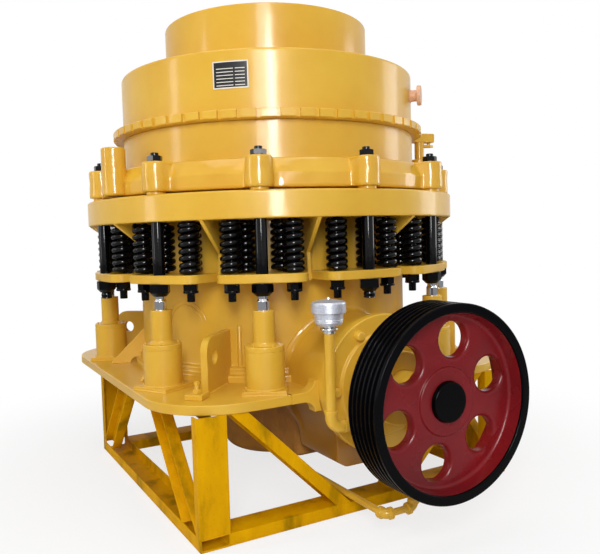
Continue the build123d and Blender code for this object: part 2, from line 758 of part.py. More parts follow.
def trunnions():
    """Lifting pin with a disc head on two sides of the cap."""
    lying = Rot(0, 90, 0)
    low = (Align.CENTER, Align.CENTER, Align.MIN)
    stem = lying * Cylinder(TRUNNION_STEM_R, TRUNNION_STEM_L, align=low)
    head = Pos(TRUNNION_STEM_L, 0, 0) * lying * Cylinder(TRUNNION_R, TRUNNION_T, align=low)
    pin = Pos(CAP_R, 0, CAP_TOP_Z - TRUNNION_DROP) * (stem + head)
    pin -= ring(CAP_R + SEAT_GAP, 0, TOOTH_RING_TOP_Z, CAP_TOP_Z)
    return Compound(children=[Rot(0, 0, angle) * pin for angle in TRUNNION_DEG])


def nameplate():
    """Thin bare plate, bent to the cap."""
    inner = CAP_R + SEAT_GAP
    middle = CAP_TOP_Z - NAMEPLATE_DROP
    band = ring(inner + NAMEPLATE_T, inner, middle - NAMEPLATE_H / 2, middle + NAMEPLATE_H / 2)
    window = Pos(0, 0, middle) * Box(
        2 * CAP_R, NAMEPLATE_W, NAMEPLATE_H, align=(Align.MIN, Align.CENTER, Align.CENTER)
    )
    return Rot(0, 0, NAMEPLATE_DEG) * (band & window)


# Drive


def housing_cover():
    """Bolted end cover of the drive housing with a raised middle and its seal neck."""
    face = HOUSING_END_X + COVER_T
    cover = bar_x(COVER_R, HOUSING_END_X, face)
    cover += bar_x(COVER_STEP_R, face, face + COVER_STEP_T)
    cover += bar_x(SEAL_R, face, SEAL_END_X)
    return cover - bar_x(SHAFT_R + FIT_GAP, HOUSING_END_X, SEAL_END_X)


def countershaft():
    """Shaft from inside the housing to just past the sheave hub."""
    end = SHEAVE_X + SHEAVE_W - WEB_INSET + SHAFT_PROUD
    return bar_x(SHAFT_R, SHAFT_START_X + SHAFT_END_GAP, end)


def groove_points():
    """Points of the grooved rim from the back edge to the front edge, as (x, radius)."""
    first = GROOVE_BACK_LAND + GROOVE_TOP_W / 2
    points = [(0.0, SHEAVE_R)]
    for i in range(GROOVES):
        middle = first + i * GROOVE_PITCH
        points.append((middle - GROOVE_TOP_W / 2, SHEAVE_R))
        points.append((middle - GROOVE_FLOOR_W / 2, SHEAVE_R - GROOVE_DEPTH))
        points.append((middle + GROOVE_FLOOR_W / 2, SHEAVE_R - GROOVE_DEPTH))
        points.append((middle + GROOVE_TOP_W / 2, SHEAVE_R))
    points.append((SHEAVE_W, SHEAVE_R))
    return points


def sheave():
    """Grooved drive sheave with a holed web and a hub."""
    web_front = SHEAVE_W - WEB_INSET
    web_back = web_front - WEB_T
    hub_front = web_front + HUB_PROUD
    hub_back = hub_front - SHEAVE_HUB_L
    rim_r = SHEAVE_R - GROOVE_DEPTH - RIM_WALL
    root_r = rim_r - RIM_TAPER
    bore = SHAFT_R + FIT_GAP
    outline = groove_points()
    outline += [
        (SHEAVE_W, SHEAVE_LIP_R),
        (web_front, root_r),
        (web_front, SHEAVE_HUB_R),
        (hub_front, SHEAVE_HUB_R),
        (hub_front, bore),
        (hub_back, bore),
        (hub_back, SHEAVE_HUB_R),
        (web_back, SHEAVE_HUB_R),
        (web_back, root_r),
        (0, rim_r),
    ]
    profile = make_face(Polyline(*outline, close=True))
    wheel = revolve(profile, Axis.X)
    for i in range(WEB_HOLES):
        turn = Pos(web_back, 0, 0) * Rot(WEB_HOLE_TURN + 360.0 / WEB_HOLES * i, 0, 0)
        hole = turn * Pos(0, 0, WEB_HOLE_PITCH_R) * Rot(0, 90, 0)
        wheel -= hole * Cylinder(WEB_HOLE_R, WEB_T, align=(Align.CENTER, Align.CENTER, Align.MIN))
    return Pos(SHEAVE_X, 0, SHAFT_Z) * wheel


# Pipes


def breather_pipe():
    """Vent pipe: up from the drive housing through an elbow to the breather."""
    path = FilletPolyline(
        (VENT_X, 0, VENT_LOW_Z),
        (VENT_X, VENT_Y, VENT_LOW_Z),
        (VENT_X, VENT_Y, VENT_TOP_Z),
        radius=VENT_BEND,
    )
    pipe = sweep(Plane(path @ 0, z_dir=path % 0) * Circle(VENT_R), path)
    return pipe - bar_x(SEAL_R + SEAT_GAP, HOUSING_END_X, SEAL_END_X)


def breather():
    """Stepped breather cap on the vent pipe: disc, neck, lower drum and wider top drum."""
    low = (Align.CENTER, Align.CENTER, Align.MIN)
    drum_z = VENT_DISC_H + VENT_NECK_H
    lid_z = drum_z + VENT_DRUM_H
    cap = ring(VENT_DISC_R, 0, 0, VENT_DISC_H) + ring(VENT_NECK_R, 0, VENT_DISC_H, drum_z)
    cap += Pos(0, 0, drum_z) * Cone(VENT_DRUM_R - VENT_DRUM_TAPER, VENT_DRUM_R, VENT_DRUM_H, align=low)
    lid = ring(VENT_CAP_R, 0, lid_z, lid_z + VENT_CAP_H)
    lid = chamfer(lid.edges().group_by(Axis.Z)[-1], VENT_CAP_ROUND_H, VENT_CAP_R - VENT_CAP_ROUND_R)
    return Pos(VENT_X, VENT_Y, VENT_TOP_Z) * (cap + lid)


def drain_pipe():
    """Oil return pipe from the gear case out past the stand, ending in a short riser."""
    path = FilletPolyline(
        (DRAIN_START_X, DRAIN_Y, DRAIN_Z),
        (DRAIN_ELBOW_X, DRAIN_Y, DRAIN_Z),
        (DRAIN_ELBOW_X, DRAIN_Y + DRAIN_ACROSS, DRAIN_Z),
        (DRAIN_ELBOW_X, DRAIN_Y + DRAIN_ACROSS, DRAIN_Z + DRAIN_RISE),
        radius=DRAIN_BEND,
    )
    pipe = sweep(Plane(path @ 0, z_dir=path % 0) * Circle(DRAIN_R), path)
    return pipe - ring(HUB_R + SEAT_GAP, 0, HUB_BOTTOM_Z, PLATE_BOTTOM_Z)


save("stand_side_rails", side_rails())
save("stand_end_rails", end_rails())
save("stand_legs", legs())
save("stand_end_braces", end_braces())
save("stand_side_braces", side_braces())
save("base_plate", base_plate())
save("web_brackets", web_brackets())
save("frame_shell", frame_shell())
save("lower_hub", lower_hub())
save("spring_flange", spring_flange())
save("frame_ribs", frame_ribs())
save("mantle", mantle())
save("lifting_lugs", lifting_lugs())
save("frame_gussets", frame_gussets())
save("corner_clamps", corner_clamps())
save("release_cylinders", release_cylinders())
for name, first_angle in (("front", -30.0), ("right", 60.0), ("back", 150.0), ("left", 240.0)):
    save("springs_" + name, springs(first_angle))
save("adjustment_ring", adjustment_ring())
save("clamping_neck", clamping_neck())
save("tall_bosses", tall_bosses())
save("locking_pawl", locking_pawl())
save("seat_collars", seat_collars())
save("guide_bolts", guide_bolts())
save("top_nuts", top_nuts())
save("spring_plates", spring_plates())
save("plate_nuts", plate_nuts())
save("release_rods", release_rods())
save("spring_studs", spring_studs())
save("toothed_ring", toothed_ring())
save("bowl_cap", bowl_cap())
save("feed_hopper", feed_hopper())
save("trunnions", trunnions())
save("nameplate", nameplate())
save("drive_housing", drive_housing())
save("housing_cover", housing_cover())
save("countershaft", countershaft())
save("sheave", sheave())
save("breather_pipe", breather_pipe())
save("breather", breather())
save("drain_pipe", drain_pipe())
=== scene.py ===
import math
import bmesh
import bpy
import numpy as np
from mathutils import Matrix, Vector


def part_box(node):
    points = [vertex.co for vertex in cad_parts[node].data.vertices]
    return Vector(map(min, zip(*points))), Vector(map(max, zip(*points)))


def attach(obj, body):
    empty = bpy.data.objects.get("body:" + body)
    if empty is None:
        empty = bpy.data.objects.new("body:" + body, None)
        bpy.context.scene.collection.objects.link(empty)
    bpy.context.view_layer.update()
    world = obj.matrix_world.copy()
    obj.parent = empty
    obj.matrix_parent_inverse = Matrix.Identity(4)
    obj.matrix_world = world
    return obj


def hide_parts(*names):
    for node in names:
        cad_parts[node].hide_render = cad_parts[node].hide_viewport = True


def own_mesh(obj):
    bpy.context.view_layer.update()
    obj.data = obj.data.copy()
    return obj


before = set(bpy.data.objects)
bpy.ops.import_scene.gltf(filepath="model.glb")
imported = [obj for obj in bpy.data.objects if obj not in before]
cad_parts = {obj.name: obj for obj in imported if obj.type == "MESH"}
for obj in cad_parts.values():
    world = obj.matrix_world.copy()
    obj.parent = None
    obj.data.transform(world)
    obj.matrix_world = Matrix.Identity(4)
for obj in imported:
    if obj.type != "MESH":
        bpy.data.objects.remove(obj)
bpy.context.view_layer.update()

# All making below is in millimetres; a piece turns to metres when its mesh is written.


def span(node):
    """Lowest and highest corner of a CAD node in millimetres."""
    low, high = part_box(node)
    return np.array(low) * 1000.0, np.array(high) * 1000.0


# Sizes taken from the boxes of the CAD parts
FLANGE_LOW, FLANGE_HIGH = span("spring_flange")
FLANGE_R = FLANGE_HIGH[0]
BOLT_R = 25.5
GROUP_R = span("guide_bolts")[1][0] - BOLT_R
RING_HIGH = span("adjustment_ring")[1]
BOSS_R = RING_HIGH[0] - GROUP_R
NECK_R = span("clamping_neck")[1][0]
TEETH_LOW, TEETH_HIGH = span("toothed_ring")
CAP_LOW, CAP_HIGH = span("bowl_cap")
CAP_R = CAP_HIGH[0]
HOPPER_LOW, HOPPER_HIGH = span("feed_hopper")
HOPPER_R = HOPPER_HIGH[0]
PLATE_LOW, PLATE_HIGH = span("base_plate")
PLATE_BOTTOM, PLATE_TOP = PLATE_LOW[2], PLATE_HIGH[2]
PLATE_HALF = PLATE_HIGH[0]
SPRING_LOW_Z, SPRING_HIGH_Z = (corner[2] for corner in span("springs_front"))
CARRIER_LOW_Z, CARRIER_HIGH_Z = (corner[2] for corner in span("spring_plates"))
SLEEVE_TOP = span("release_cylinders")[1][2]
ROD_FOOT_Z = span("release_rods")[0][2]
STUD_FOOT_Z = span("spring_studs")[0][2]
TOP_NUT_LOW_Z, TOP_NUT_HIGH_Z = (corner[2] for corner in span("top_nuts"))
RIB_FOOT_Z = span("frame_ribs")[0][2]
LUG_LOW_Z, LUG_HIGH_Z = (corner[2] for corner in span("lifting_lugs"))
SHEAVE_LOW, SHEAVE_HIGH = span("sheave")
SHEAVE_R = (SHEAVE_HIGH[2] - SHEAVE_LOW[2]) / 2
SHAFT_Z = (SHEAVE_HIGH[2] + SHEAVE_LOW[2]) / 2
SHAFT_END_X = span("countershaft")[1][0]
COVER_LOW, COVER_HIGH = span("housing_cover")
COVER_R = COVER_HIGH[2] - SHAFT_Z
HOUSING_END_X = span("drive_housing")[1][0]
HUB_FOOT_Z = span("lower_hub")[0][2]
BREATHER_LOW, BREATHER_HIGH = span("breather")
BREATHER_X, BREATHER_Y = ((BREATHER_LOW + BREATHER_HIGH) / 2)[:2]
BREATHER_FOOT = BREATHER_LOW[2]
VENT_LOW, VENT_HIGH = span("breather_pipe")
RAILS_LOW, RAILS_HIGH = span("stand_side_rails")
STAND_TOP = span("stand_legs")[1][2]
PIN_LOW, PIN_HIGH = span("trunnions")

# Sizes that the boxes don't give
BODY_R = 691.0
FOOT_BAND = 22.0
FOOT_BAND_H = 31.0
FLANGE_BORE = 610.0
RING_BORE = 775.0
NECK_BORE = 530.0
THROAT_R = 440.0
HOPPER_WALL = 16.0
SPRING_R = 47.5
SPRING_WIRE = 25.0
SPRING_FRONT = (GROUP_R - 47.0, 130.0)
SPRING_REAR = (GROUP_R - 127.0, 76.0)
CHANNEL_W = 126.0
CHANNEL_F = 50.0
CHANNEL_T = 8.0

GROUPS = [30.0 * i for i in range(12)]
CYLINDER_GROUPS = [a for a in GROUPS if a % 90 != 0]
CORNERS = [45.0, 135.0, 225.0, 315.0]
TALL_BOSSES = (281.0, 78.0)
ONE = np.eye(3)
UP = (0, 0, 1)


# Ways of making surfaces


def skin(points, loop=False, ends=True):
    """Surface on a grid of rows and columns: each cell is one quad, and the last column joins
    the first. loop joins the last row to the first; without it, ends closes the first and last
    row with a flat face."""
    rows, cols = points.shape[:2]
    index = np.arange(rows * cols).reshape(rows, cols)
    below, above = (index, np.roll(index, -1, 0)) if loop else (index[:-1], index[1:])
    quads = [below, np.roll(below, -1, 1), np.roll(above, -1, 1), above]
    quads = np.stack(quads, -1).reshape(-1, 4)
    caps = [index[0][::-1].tolist(), index[-1].tolist()] if ends and not loop else []
    return points.reshape(-1, 3).astype(float), quads, caps


def around(radius, angle, height):
    """Points about Z: x = radius cos angle, y = radius sin angle, z = height, angle in radians."""
    parts = (radius * np.cos(angle), radius * np.sin(angle), height)
    return np.stack(np.broadcast_arrays(*parts), -1)


def full_turn(n):
    """Angles of n equal steps round a circle."""
    return np.arange(n) * 2 * math.pi / n


def stacked(rows):
    """Grid whose rows are flat outlines, each at its own height."""
    return np.stack([np.concatenate([o, np.full((len(o), 1), z)], 1) for o, z in rows])


def placed(shells, turn=ONE, move=(0.0, 0.0, 0.0)):
    """The same surfaces turned by a 3 by 3 rotation, then moved."""
    return [(p @ np.asarray(turn).T + np.asarray(move, float), q, c) for p, q, c in shells]


def spin(angle, axis=2):
    """Rotation matrix about one of the three axes, in degrees."""
    c, s = math.cos(math.radians(angle)), math.sin(math.radians(angle))
    a, b = [(1, 2), (2, 0), (0, 1)][axis]
    turn = np.eye(3)
    turn[a, a] = turn[b, b] = c
    turn[a, b], turn[b, a] = -s, s
    return turn


LYING = spin(90, 1)


def repeated(shells, angles, radius=0.0, across=0.0):
    """Copies carried out along X by radius and along Y by across, one for each angle about Z."""
    out = []
    for angle in angles:
        out += placed(placed(shells, move=(radius, across, 0)), spin(angle))
    return out


def rounded(points, radius, steps, closed, guard=True, most=0.45):
    """Outline with each corner replaced by an arc: points at equal angles between the two tangent
    points, plus one guard point just beyond each end of the arc, so that the flats stay flat.
    radius is one number or one for each point; an arc takes no more than the share most of a
    side."""
    pts = np.asarray(points, float)
    n = len(pts)
    radii = np.broadcast_to(np.asarray(radius, float), (n,))
    out = []
    for i in range(n):
        here, r = pts[i], radii[i]
        if r <= 0 or (not closed and i in (0, n - 1)):
            out.append(here[None])
            continue
        a, b = pts[i - 1] - here, pts[(i + 1) % n] - here
        la, lb = np.linalg.norm(a), np.linalg.norm(b)
        a, b = a / la, b / lb
        half = math.acos(np.clip(a @ b, -1, 1)) / 2
        if half > math.pi / 2 - 1e-3:
            out.append(here[None])
            continue
        reach = min(r / math.tan(half), most * la, most * lb)
        r = reach * math.tan(half)
        centre = here + (a + b) / np.linalg.norm(a + b) * r / math.sin(half)
        start, stop = here + a * reach - centre, here + b * reach - centre
        full = math.pi - 2 * half
        t = np.linspace(0, 1, steps + 1)[:, None]
        arc = centre + (np.sin((1 - t) * full) * start + np.sin(t * full) * stop) / math.sin(full)
        if guard:
            more = min(r * 0.6, 0.04 * min(la, lb))
            arc = np.concatenate([[arc[0] + a * more], arc, [arc[-1] + b * more]])
        out.append(arc)
    return np.concatenate(out)


def cut_outline(corners, radii, steps=4, most=0.45):
    """Closed outline of a plate with arcs at its corners, without guard points."""
    return rounded(corners, radii, steps, closed=True, guard=False, most=most)


def turned(profile, n, closed=False):
    """Profile of (radius, height) pairs carried round Z: x = radius cos t, y = radius sin t.
    An open profile is closed at both ends by flat faces."""
    pts = np.asarray(profile, float)
    if not closed:
        pts = pts[pts[:, 0] > 1e-6]
    return [skin(around(pts[:, :1], full_turn(n), pts[:, 1:]), loop=closed)]


def lathe(corners, radii, steps=4, n=64, closed=False):
    """Profile with an arc at each corner, turned."""
    return turned(rounded(corners, radii, steps, closed=closed), n, closed)


def band(inner, outer, low, high):
    """The four corners of a rectangular profile, from the inner foot round to the inner top."""
    return [(inner, low), (outer, low), (outer, high), (inner, high)]


def drum(radius, low, high, edge, n):
    """Turned disc or rod with rounded edges."""
    return lathe(band(0, radius, low, high), edge, 3, n)


def along_x(shells, x):
    """A shape made about Z, laid along the shaft's axis with its foot at x."""
    return placed(shells, LYING, (x, 0.0, SHAFT_Z))


def inset(outline, depth):
    """Closed outline moved inwards: each point goes along the mean of its two edge normals."""
    after = np.roll(outline, -1, 0)
    edge = after - outline
    normal = np.stack([edge[:, 1], -edge[:, 0]], -1)
    normal /= np.linalg.norm(normal, axis=1, keepdims=True) + 1e-12
    area = np.sum(outline[:, 0] * after[:, 1] - after[:, 0] * outline[:, 1])
    both = normal + np.roll(normal, 1, 0)
    both /= np.maximum(np.sum(both * normal, axis=1, keepdims=True), 0.3)
    return outline - both * depth * np.sign(area)


def prism(outline, low, high, edge=2.0):
    """Closed outline raised from low to high, its rims chamfered: the outline moves in there."""
    outline = np.asarray(outline, float)
    small = inset(outline, edge)
    rows = [(small, low), (outline, low + edge), (outline, high - edge), (small, high)]
    return [skin(stacked(rows))]


def slab(half, low, high):
    """Square block about Z with chamfered rims."""
    return prism(band(-half, half, -half, half), low, high, 2.5)


def upright(shells):
    """A flat shape drawn in X and Z: its thickness turns from Z to Y."""
    return placed(shells, spin(90, 0))


def hexagon(across, low, high, n=48):
    """Hexagon with turned corners: radius is flat / cos(t mod 60 deg), and each rim falls
    with the radius beyond the flats, as a 30 degree chamfer cuts it."""
    t = full_turn(n)
    flat = across / 2 * math.cos(math.pi / 6)
    radius = flat / np.cos((t + math.pi / 6) % (math.pi / 3) - math.pi / 6)
    fall = (radius - flat) * 0.6
    rim = flat * 0.96
    rows = [(rim, low), (radius, low + fall), (radius, high - fall), (rim, high)]
    return [skin(np.stack([around(r, t, z) for r, z in rows]))]


def thread(radius, low, high, pitch, n=20):
    """Threaded end: the radius rises and falls once for each pitch, and the tip is chamfered."""
    count = max(int((high - low) / pitch * 2), 4)
    z = np.linspace(low, high, count + 1)
    r = radius * np.where(np.arange(count + 1) % 2, 0.93, 1.0)
    r[0] *= 0.8 if high < low else 1.0
    tip = np.array([[radius * 0.8, high + math.copysign(2.0, high - low)]])
    return turned(np.concatenate([np.stack([r, z], -1), tip]), n)


def swept(path, radius, sides):
    """Round tube on a path: at each point a circle in the plane square to the path, its first
    direction carried on from the point before with the least turning. radius may differ along
    the path."""
    path = np.asarray(path, float)
    tangent = np.gradient(path, axis=0)
    tangent /= np.linalg.norm(tangent, axis=1, keepdims=True)
    first = np.cross(tangent[0], (0, 0, 1.0))
    if np.linalg.norm(first) < 0.1:
        first = np.cross(tangent[0], (0, 1.0, 0))
    side = [first / np.linalg.norm(first)]
    for now in tangent[1:]:
        step = side[-1] - now * (side[-1] @ now)
        side.append(step / np.linalg.norm(step))
    side = np.array(side)
    up = np.cross(tangent, side)
    t = full_turn(sides)[:, None]
    r = np.broadcast_to(np.asarray(radius, float), (len(path),))[:, None, None]
    ring = side[:, None] * np.cos(t) + up[:, None] * np.sin(t)
    return [skin(path[:, None] + r * ring)]


def weld(path, size=5.0, pitch=9.0):
    """Weld bead: a tube whose radius ripples once for each pitch of its length."""
    path = np.asarray(path, float)
    step = np.linalg.norm(np.diff(path, axis=0), axis=1)
    length = np.concatenate([[0], np.cumsum(step)])
    at = np.linspace(0, length[-1], max(int(length[-1] / pitch * 3), 8))
    line = np.stack([np.interp(at, length, path[:, k]) for k in range(3)], -1)
    ripple = 1 + 0.16 * np.sin(at / pitch * 2 * math.pi) + 0.12 * np.sin(at * 0.031)
    return swept(line, size * ripple, 6)


def circle(radius, z, n, start=0.0, stop=360.0):
    """Points of an arc about Z."""
    return around(radius, np.radians(np.linspace(start, stop, n)), z)


def hole_plate(outline, centre, radius, low, high):
    """Plate with one round hole: for each direction from the hole's centre one point on the
    outline and one on the hole, joined over the top, through the hole and under the bottom."""
    edge = 2.0
    small = inset(outline, edge)
    spoke = outline - centre
    hole = centre + spoke / np.linalg.norm(spoke, axis=1, keepdims=True) * radius
    wide = centre + (hole - centre) * (radius + edge) / radius
    rows = [(outline, low + edge), (outline, high - edge), (small, high), (wide, high),
            (hole, high - edge), (hole, low + edge), (wide, low), (small, low)]
    return [skin(stacked(rows), loop=True)]


def dense(outline, step):
    """Closed outline with points added so that none is further than step from the next."""
    out = []
    for a, b in zip(outline, np.roll(outline, -1, 0)):
        n = max(int(np.linalg.norm(b - a) / step), 1)
        out.append(a + (b - a) * (np.arange(n) / n)[:, None])
    return np.concatenate(out)


def piece(name, shells, body, material, nodes, sharp=32.0):
    """Joins the surfaces into one mesh in metres, turns its faces outwards, shades it smooth
    between edges sharper than the given angle, hangs it under its body's empty and hides the nodes
    it replaces."""
    points, faces, start = [], [], 0
    for p, quads, caps in shells:
        points.append(p)
        faces += (quads + start).tolist()
        faces += [[i + start for i in cap] for cap in caps]
        start += len(p)
    mesh = bpy.data.meshes.new(name)
    mesh.from_pydata(np.concatenate(points) / 1000.0, [], faces)
    shape = bmesh.new()
    shape.from_mesh(mesh)
    bmesh.ops.recalc_face_normals(shape, faces=shape.faces)
    shape.to_mesh(mesh)
    shape.free()
    mesh.shade_smooth()
    mesh.set_sharp_from_angle(angle=math.radians(sharp))
    mesh.materials.append(material)
    thing = bpy.data.objects.new(name, mesh)
    bpy.context.scene.collection.objects.link(thing)
    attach(thing, body)
    if nodes:
        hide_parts(*nodes)
    return thing


def dress(node, shells, body, material, sharp=32.0):
    """The one piece that is seen in place of a CAD node."""
    piece(node + "_dressed", shells, body, material, [node], sharp)


# Materials


def linear(hexcode):
    """sRGB hex to the linear colour that the shader works in."""
    values = [int(hexcode[i:i + 2], 16) / 255 for i in (1, 3, 5)]
    return [v / 12.92 if v <= 0.04045 else ((v + 0.055) / 1.055) ** 2.4 for v in values] + [1.0]


def add(tree, kind, inputs=None, **settings):
    """Adds one node with its settings; inputs gives each socket a value or its feeding socket."""
    made = tree.nodes.new("ShaderNode" + kind)
    for key, value in settings.items():
        setattr(made, key, value)
    for key, value in (inputs or {}).items():
        if isinstance(value, bpy.types.NodeSocket):
            tree.links.new(value, made.inputs[key])
        else:
            made.inputs[key].default_value = value
    return made


def ramp(tree, value, *pairs):
    """Value turned to a colour by a ramp of (place, hex colour or grey)."""
    made = add(tree, "ValToRGB", {"Fac": value})
    band = made.color_ramp
    while len(band.elements) < len(pairs):
        band.elements.new(0.5)
    for element, (place, colour) in zip(band.elements, pairs):
        element.position = place
        element.color = linear(colour) if isinstance(colour, str) else (colour,) * 3 + (1.0,)
    return made.outputs[0]


def ranged(tree, value, low, high, start=0.0, stop=1.0, **settings):
    """Value carried from the range start..stop to the range low..high."""
    inputs = {"Value": value, "From Min": start, "From Max": stop, "To Min": low, "To Max": high}
    return add(tree, "MapRange", inputs, **settings).outputs["Result"]


def bump(tree, height, strength, distance, over=None):
    """Surface normal tilted by a height, on top of another bump if there is one."""
    inputs = {"Height": height, "Strength": strength, "Distance": distance}
    if over:
        inputs["Normal"] = over
    return add(tree, "Bump", inputs).outputs["Normal"]


def finish_of(name):
    """New material with its surface shader, and where the object's own metres are read."""
    made = bpy.data.materials.new(name)
    made.use_nodes = True
    tree = made.node_tree
    shader = tree.nodes["Principled BSDF"]
    return made, tree, shader, add(tree, "TexCoord").outputs["Object"]


def feed(tree, shader, **inputs):
    """Gives the surface shader its inputs: a socket that feeds one, or a value."""
    for key, value in inputs.items():
        socket = shader.inputs[key.replace("_", " ")]
        if isinstance(value, bpy.types.NodeSocket):
            tree.links.new(value, socket)
        else:
            socket.default_value = value


def noise(tree, where, size_mm, detail, rough=0.5):
    """Value between 0 and 1 that changes over about size_mm."""
    inputs = {"Vector": where, "Scale": 1000.0 / size_mm, "Detail": detail, "Roughness": rough}
    return add(tree, "TexNoise", inputs).outputs["Fac"]


def enamel(name, bright, deep, rough=0.36, coat=0.3, wave=0.6, peel=0.25, level=0.16, top=0.14,
           dust_and_shade=None, dust_and_shade_share=0.3, dirt_and_shade_below=None):
    """Enamel sprayed on steel: two close tones in wide clouds, where the coat ran thin or thick,
    an orange-peel skin over the slow waves of rolled or cast steel, and gloss from a clear top.
    Dust lies in patches, or below a height, where it stands for dirt and painted shade together."""
    made, tree, shader, where = finish_of(name)
    colour = ramp(tree, noise(tree, where, 260.0, 4.0, 0.55), (0.3, deep), (0.68, bright))
    if dust_and_shade:
        grime = noise(tree, where, 90.0, 6.0, 0.65)
        share = ramp(tree, grime, (0.42, 0.0), (0.72, dust_and_shade_share))
        # Below the given height the colour fades into the dust colour: dirt and painted shade on
        # the underside together.
        if dirt_and_shade_below:
            height = add(tree, "SeparateXYZ", {"Vector": where}).outputs["Z"]
            ragged = {0: grime, 1: 0.16, 2: height}
            height = add(tree, "Math", ragged, operation="MULTIPLY_ADD").outputs[0]
            share = ranged(tree, height, 0.0, dust_and_shade_share, start=dirt_and_shade_below + 0.12,
                           stop=dirt_and_shade_below + 0.02, interpolation_type="SMOOTHSTEP")
        mixed = add(tree, "Mix", {0: share, 6: colour, 7: linear(dust_and_shade)}, data_type="RGBA")
        colour = mixed.outputs[2]
    slow = bump(tree, noise(tree, where, 70.0, 2.0), wave, 0.0012)
    # the real peel is about 2 mm across, drawn at 7 mm so that it shows
    fine = bump(tree, noise(tree, where, 7.0, 1.0), peel, 0.0002, slow)
    gloss = ranged(tree, noise(tree, where, 120.0, 3.0), rough * 0.8, rough * 1.25)
    feed(tree, shader, Base_Color=colour, Roughness=gloss, Normal=fine, Coat_Normal=slow,
         Coat_Weight=coat, Coat_Roughness=top, Specular_IOR_Level=level)
    return made


def weathered(name):
    """Brushed oil paint on hot-rolled channel, weathered: bright where it is rubbed, olive-brown
    where dirt and rust have soaked in, in streaks that run down and specks a few millimetres
    wide."""
    made, tree, shader, where = finish_of(name)
    stretch = add(tree, "Mapping", {"Vector": where, "Scale": (1.0, 1.0, 0.35)})
    cloud = noise(tree, stretch.outputs[0], 150.0, 6.0, 0.6)
    colour = ramp(tree, cloud, (0.2, "#6B5000"), (0.36, "#A87E00"), (0.48, "#D89E00"),
                  (0.7, "#E8AF00"))
    speck = noise(tree, where, 9.0, 4.0, 0.7)
    share = ramp(tree, speck, (0.6, 0.0), (0.8, 0.5))
    mixed = add(tree, "Mix", {0: share, 6: colour, 7: linear("#5E4300")}, data_type="RGBA")
    slow = bump(tree, cloud, 0.5, 0.001)
    feed(tree, shader, Base_Color=mixed.outputs[2], Roughness=ranged(tree, cloud, 0.62, 0.42),
         Specular_IOR_Level=0.04, Normal=bump(tree, speck, 0.5, 0.0006, slow))
    return made


def bright_metal(name, colour, rough, grain_mm, stretch=(1.0, 1.0, 1.0)):
    """Bare metal: grain lines left by turning or grinding break the reflection along them."""
    made, tree, shader, where = finish_of(name)
    lines = add(tree, "Mapping", {"Vector": where, "Scale": stretch})
    grain = noise(tree, lines.outputs[0], grain_mm, 3.0)
    feed(tree, shader, Base_Color=linear(colour), Metallic=1.0,
         Roughness=ranged(tree, grain, rough * 0.7, rough * 1.4))
    return made


def aluminium_paint(name):
    """Die-cast cap sprayed with aluminium paint: fine bright grit in a soft grey, dull sheen."""
    made, tree, shader, where = finish_of(name)
    grit = noise(tree, where, 5.0, 2.0)
    feed(tree, shader, Base_Color=ramp(tree, grit, (0.3, "#AEB2BD"), (0.7, "#CDD0DA")),
         Normal=bump(tree, grit, 0.25, 0.0003), Metallic=0.55, Roughness=0.36)
    return made


CASTING = dict(bright="#DEB039", deep="#D5A12C", rough=0.3, coat=0.5, wave=1.2, peel=0.35, top=0.05)
BLACK_TONES = dict(bright="#08080B", deep="#050507", coat=0.0)
YELLOW = enamel("yellow_enamel_on_steel", "#DEB13C", "#D5A430")
CAST_YELLOW = enamel("yellow_enamel_on_casting", **CASTING)
# Housing enamel: brown below about half a metre, standing for dirt and painted shade on its
# underside.
DIRTY_AND_SHADED_YELLOW = enamel("yellow_enamel_with_dirt_and_painted_shade_below", **CASTING, dust_and_shade="#8A5A22", dust_and_shade_share=0.85,
                     dirt_and_shade_below=0.50)
# Lower hub under the plate: a darker, browner yellow that stands for dust and painted shade
# together.
DUSTY_AND_SHADED_YELLOW = enamel("dusty_yellow_enamel_with_painted_shade", "#B07C34", "#96652E", rough=0.5, coat=0.0,
                      dust_and_shade="#74502C", dust_and_shade_share=0.6)
STAND = weathered("weathered_oil_paint_on_channel")
BLACK = enamel("black_enamel_gloss", **BLACK_TONES, rough=0.06, wave=0.25, peel=0.0, level=0.2)
RIM_BLACK = enamel("black_enamel_on_rim", **BLACK_TONES, rough=0.22, wave=0.3, peel=0.1, level=0.05)
RED = enamel("dark_red_enamel_on_casting", "#86191F", "#6F151A", rough=0.26, coat=0.0, wave=0.9,
             level=0.2)
CHROME = bright_metal("hard_chrome_on_ground_rod", "#D9DCE2", 0.09, 30.0, (1.0, 1.0, 12.0))
ZINC = bright_metal("turned_zinc_plated_steel", "#C9CCD0", 0.25, 6.0)
SILVER = aluminium_paint("aluminium_paint_on_die_casting")
PLATE_BLACK = enamel("satin_blank_plate", "#101014", "#0C0C0F", rough=0.35, coat=0.0, wave=0.1,
                     level=0.3)
PALE_MARK = enamel("pale_enamel_border", "#E6E2DA", "#DAD5CC", rough=0.4, coat=0.0, wave=0.1)
PALE = enamel("pale_primer_on_steel", "#E9BFA0", "#DDAA86", rough=0.45, coat=0.1)
RAW = enamel("dusty_cast_steel", "#6D6761", "#4C4742", rough=0.7, coat=0.0, dust_and_shade="#7A6A54")


# Stand


def channel_section():
    """Channel: web along the first direction at 0, flanges in the second, rolled corners."""
    w, t, f = CHANNEL_W / 2, CHANNEL_T, CHANNEL_F
    corners = [(-w, 0), (w, 0), (w, f), (w - t * 0.8, f), (w - t, t), (-w + t, t),
               (-w + t * 0.8, f), (-w, f)]
    return cut_outline(corners, [2, 2, 1.5, 4, 7, 7, 4, 1.5])


SECTION = channel_section()
X0, X1 = RAILS_LOW[0], RAILS_HIGH[0]
HALF_Y = RAILS_HIGH[1]
STAND_RISE = STAND_TOP - CHANNEL_F
RAIL_TO_DECK = [(UP, CHANNEL_F), (UP, STAND_TOP)]
STAND_CORNERS = [(x, inward, side) for x, inward in ((X1, -1), (X0, 1)) for side in (-1, 1)]
END_BRACE_TOP = HALF_Y - CHANNEL_W - CHANNEL_F
END_BRACE_FOOT = 150.0
SIDE_BRACE_TOPS = (310.0, -80.0)
SIDE_BRACE_RUN = 455.0


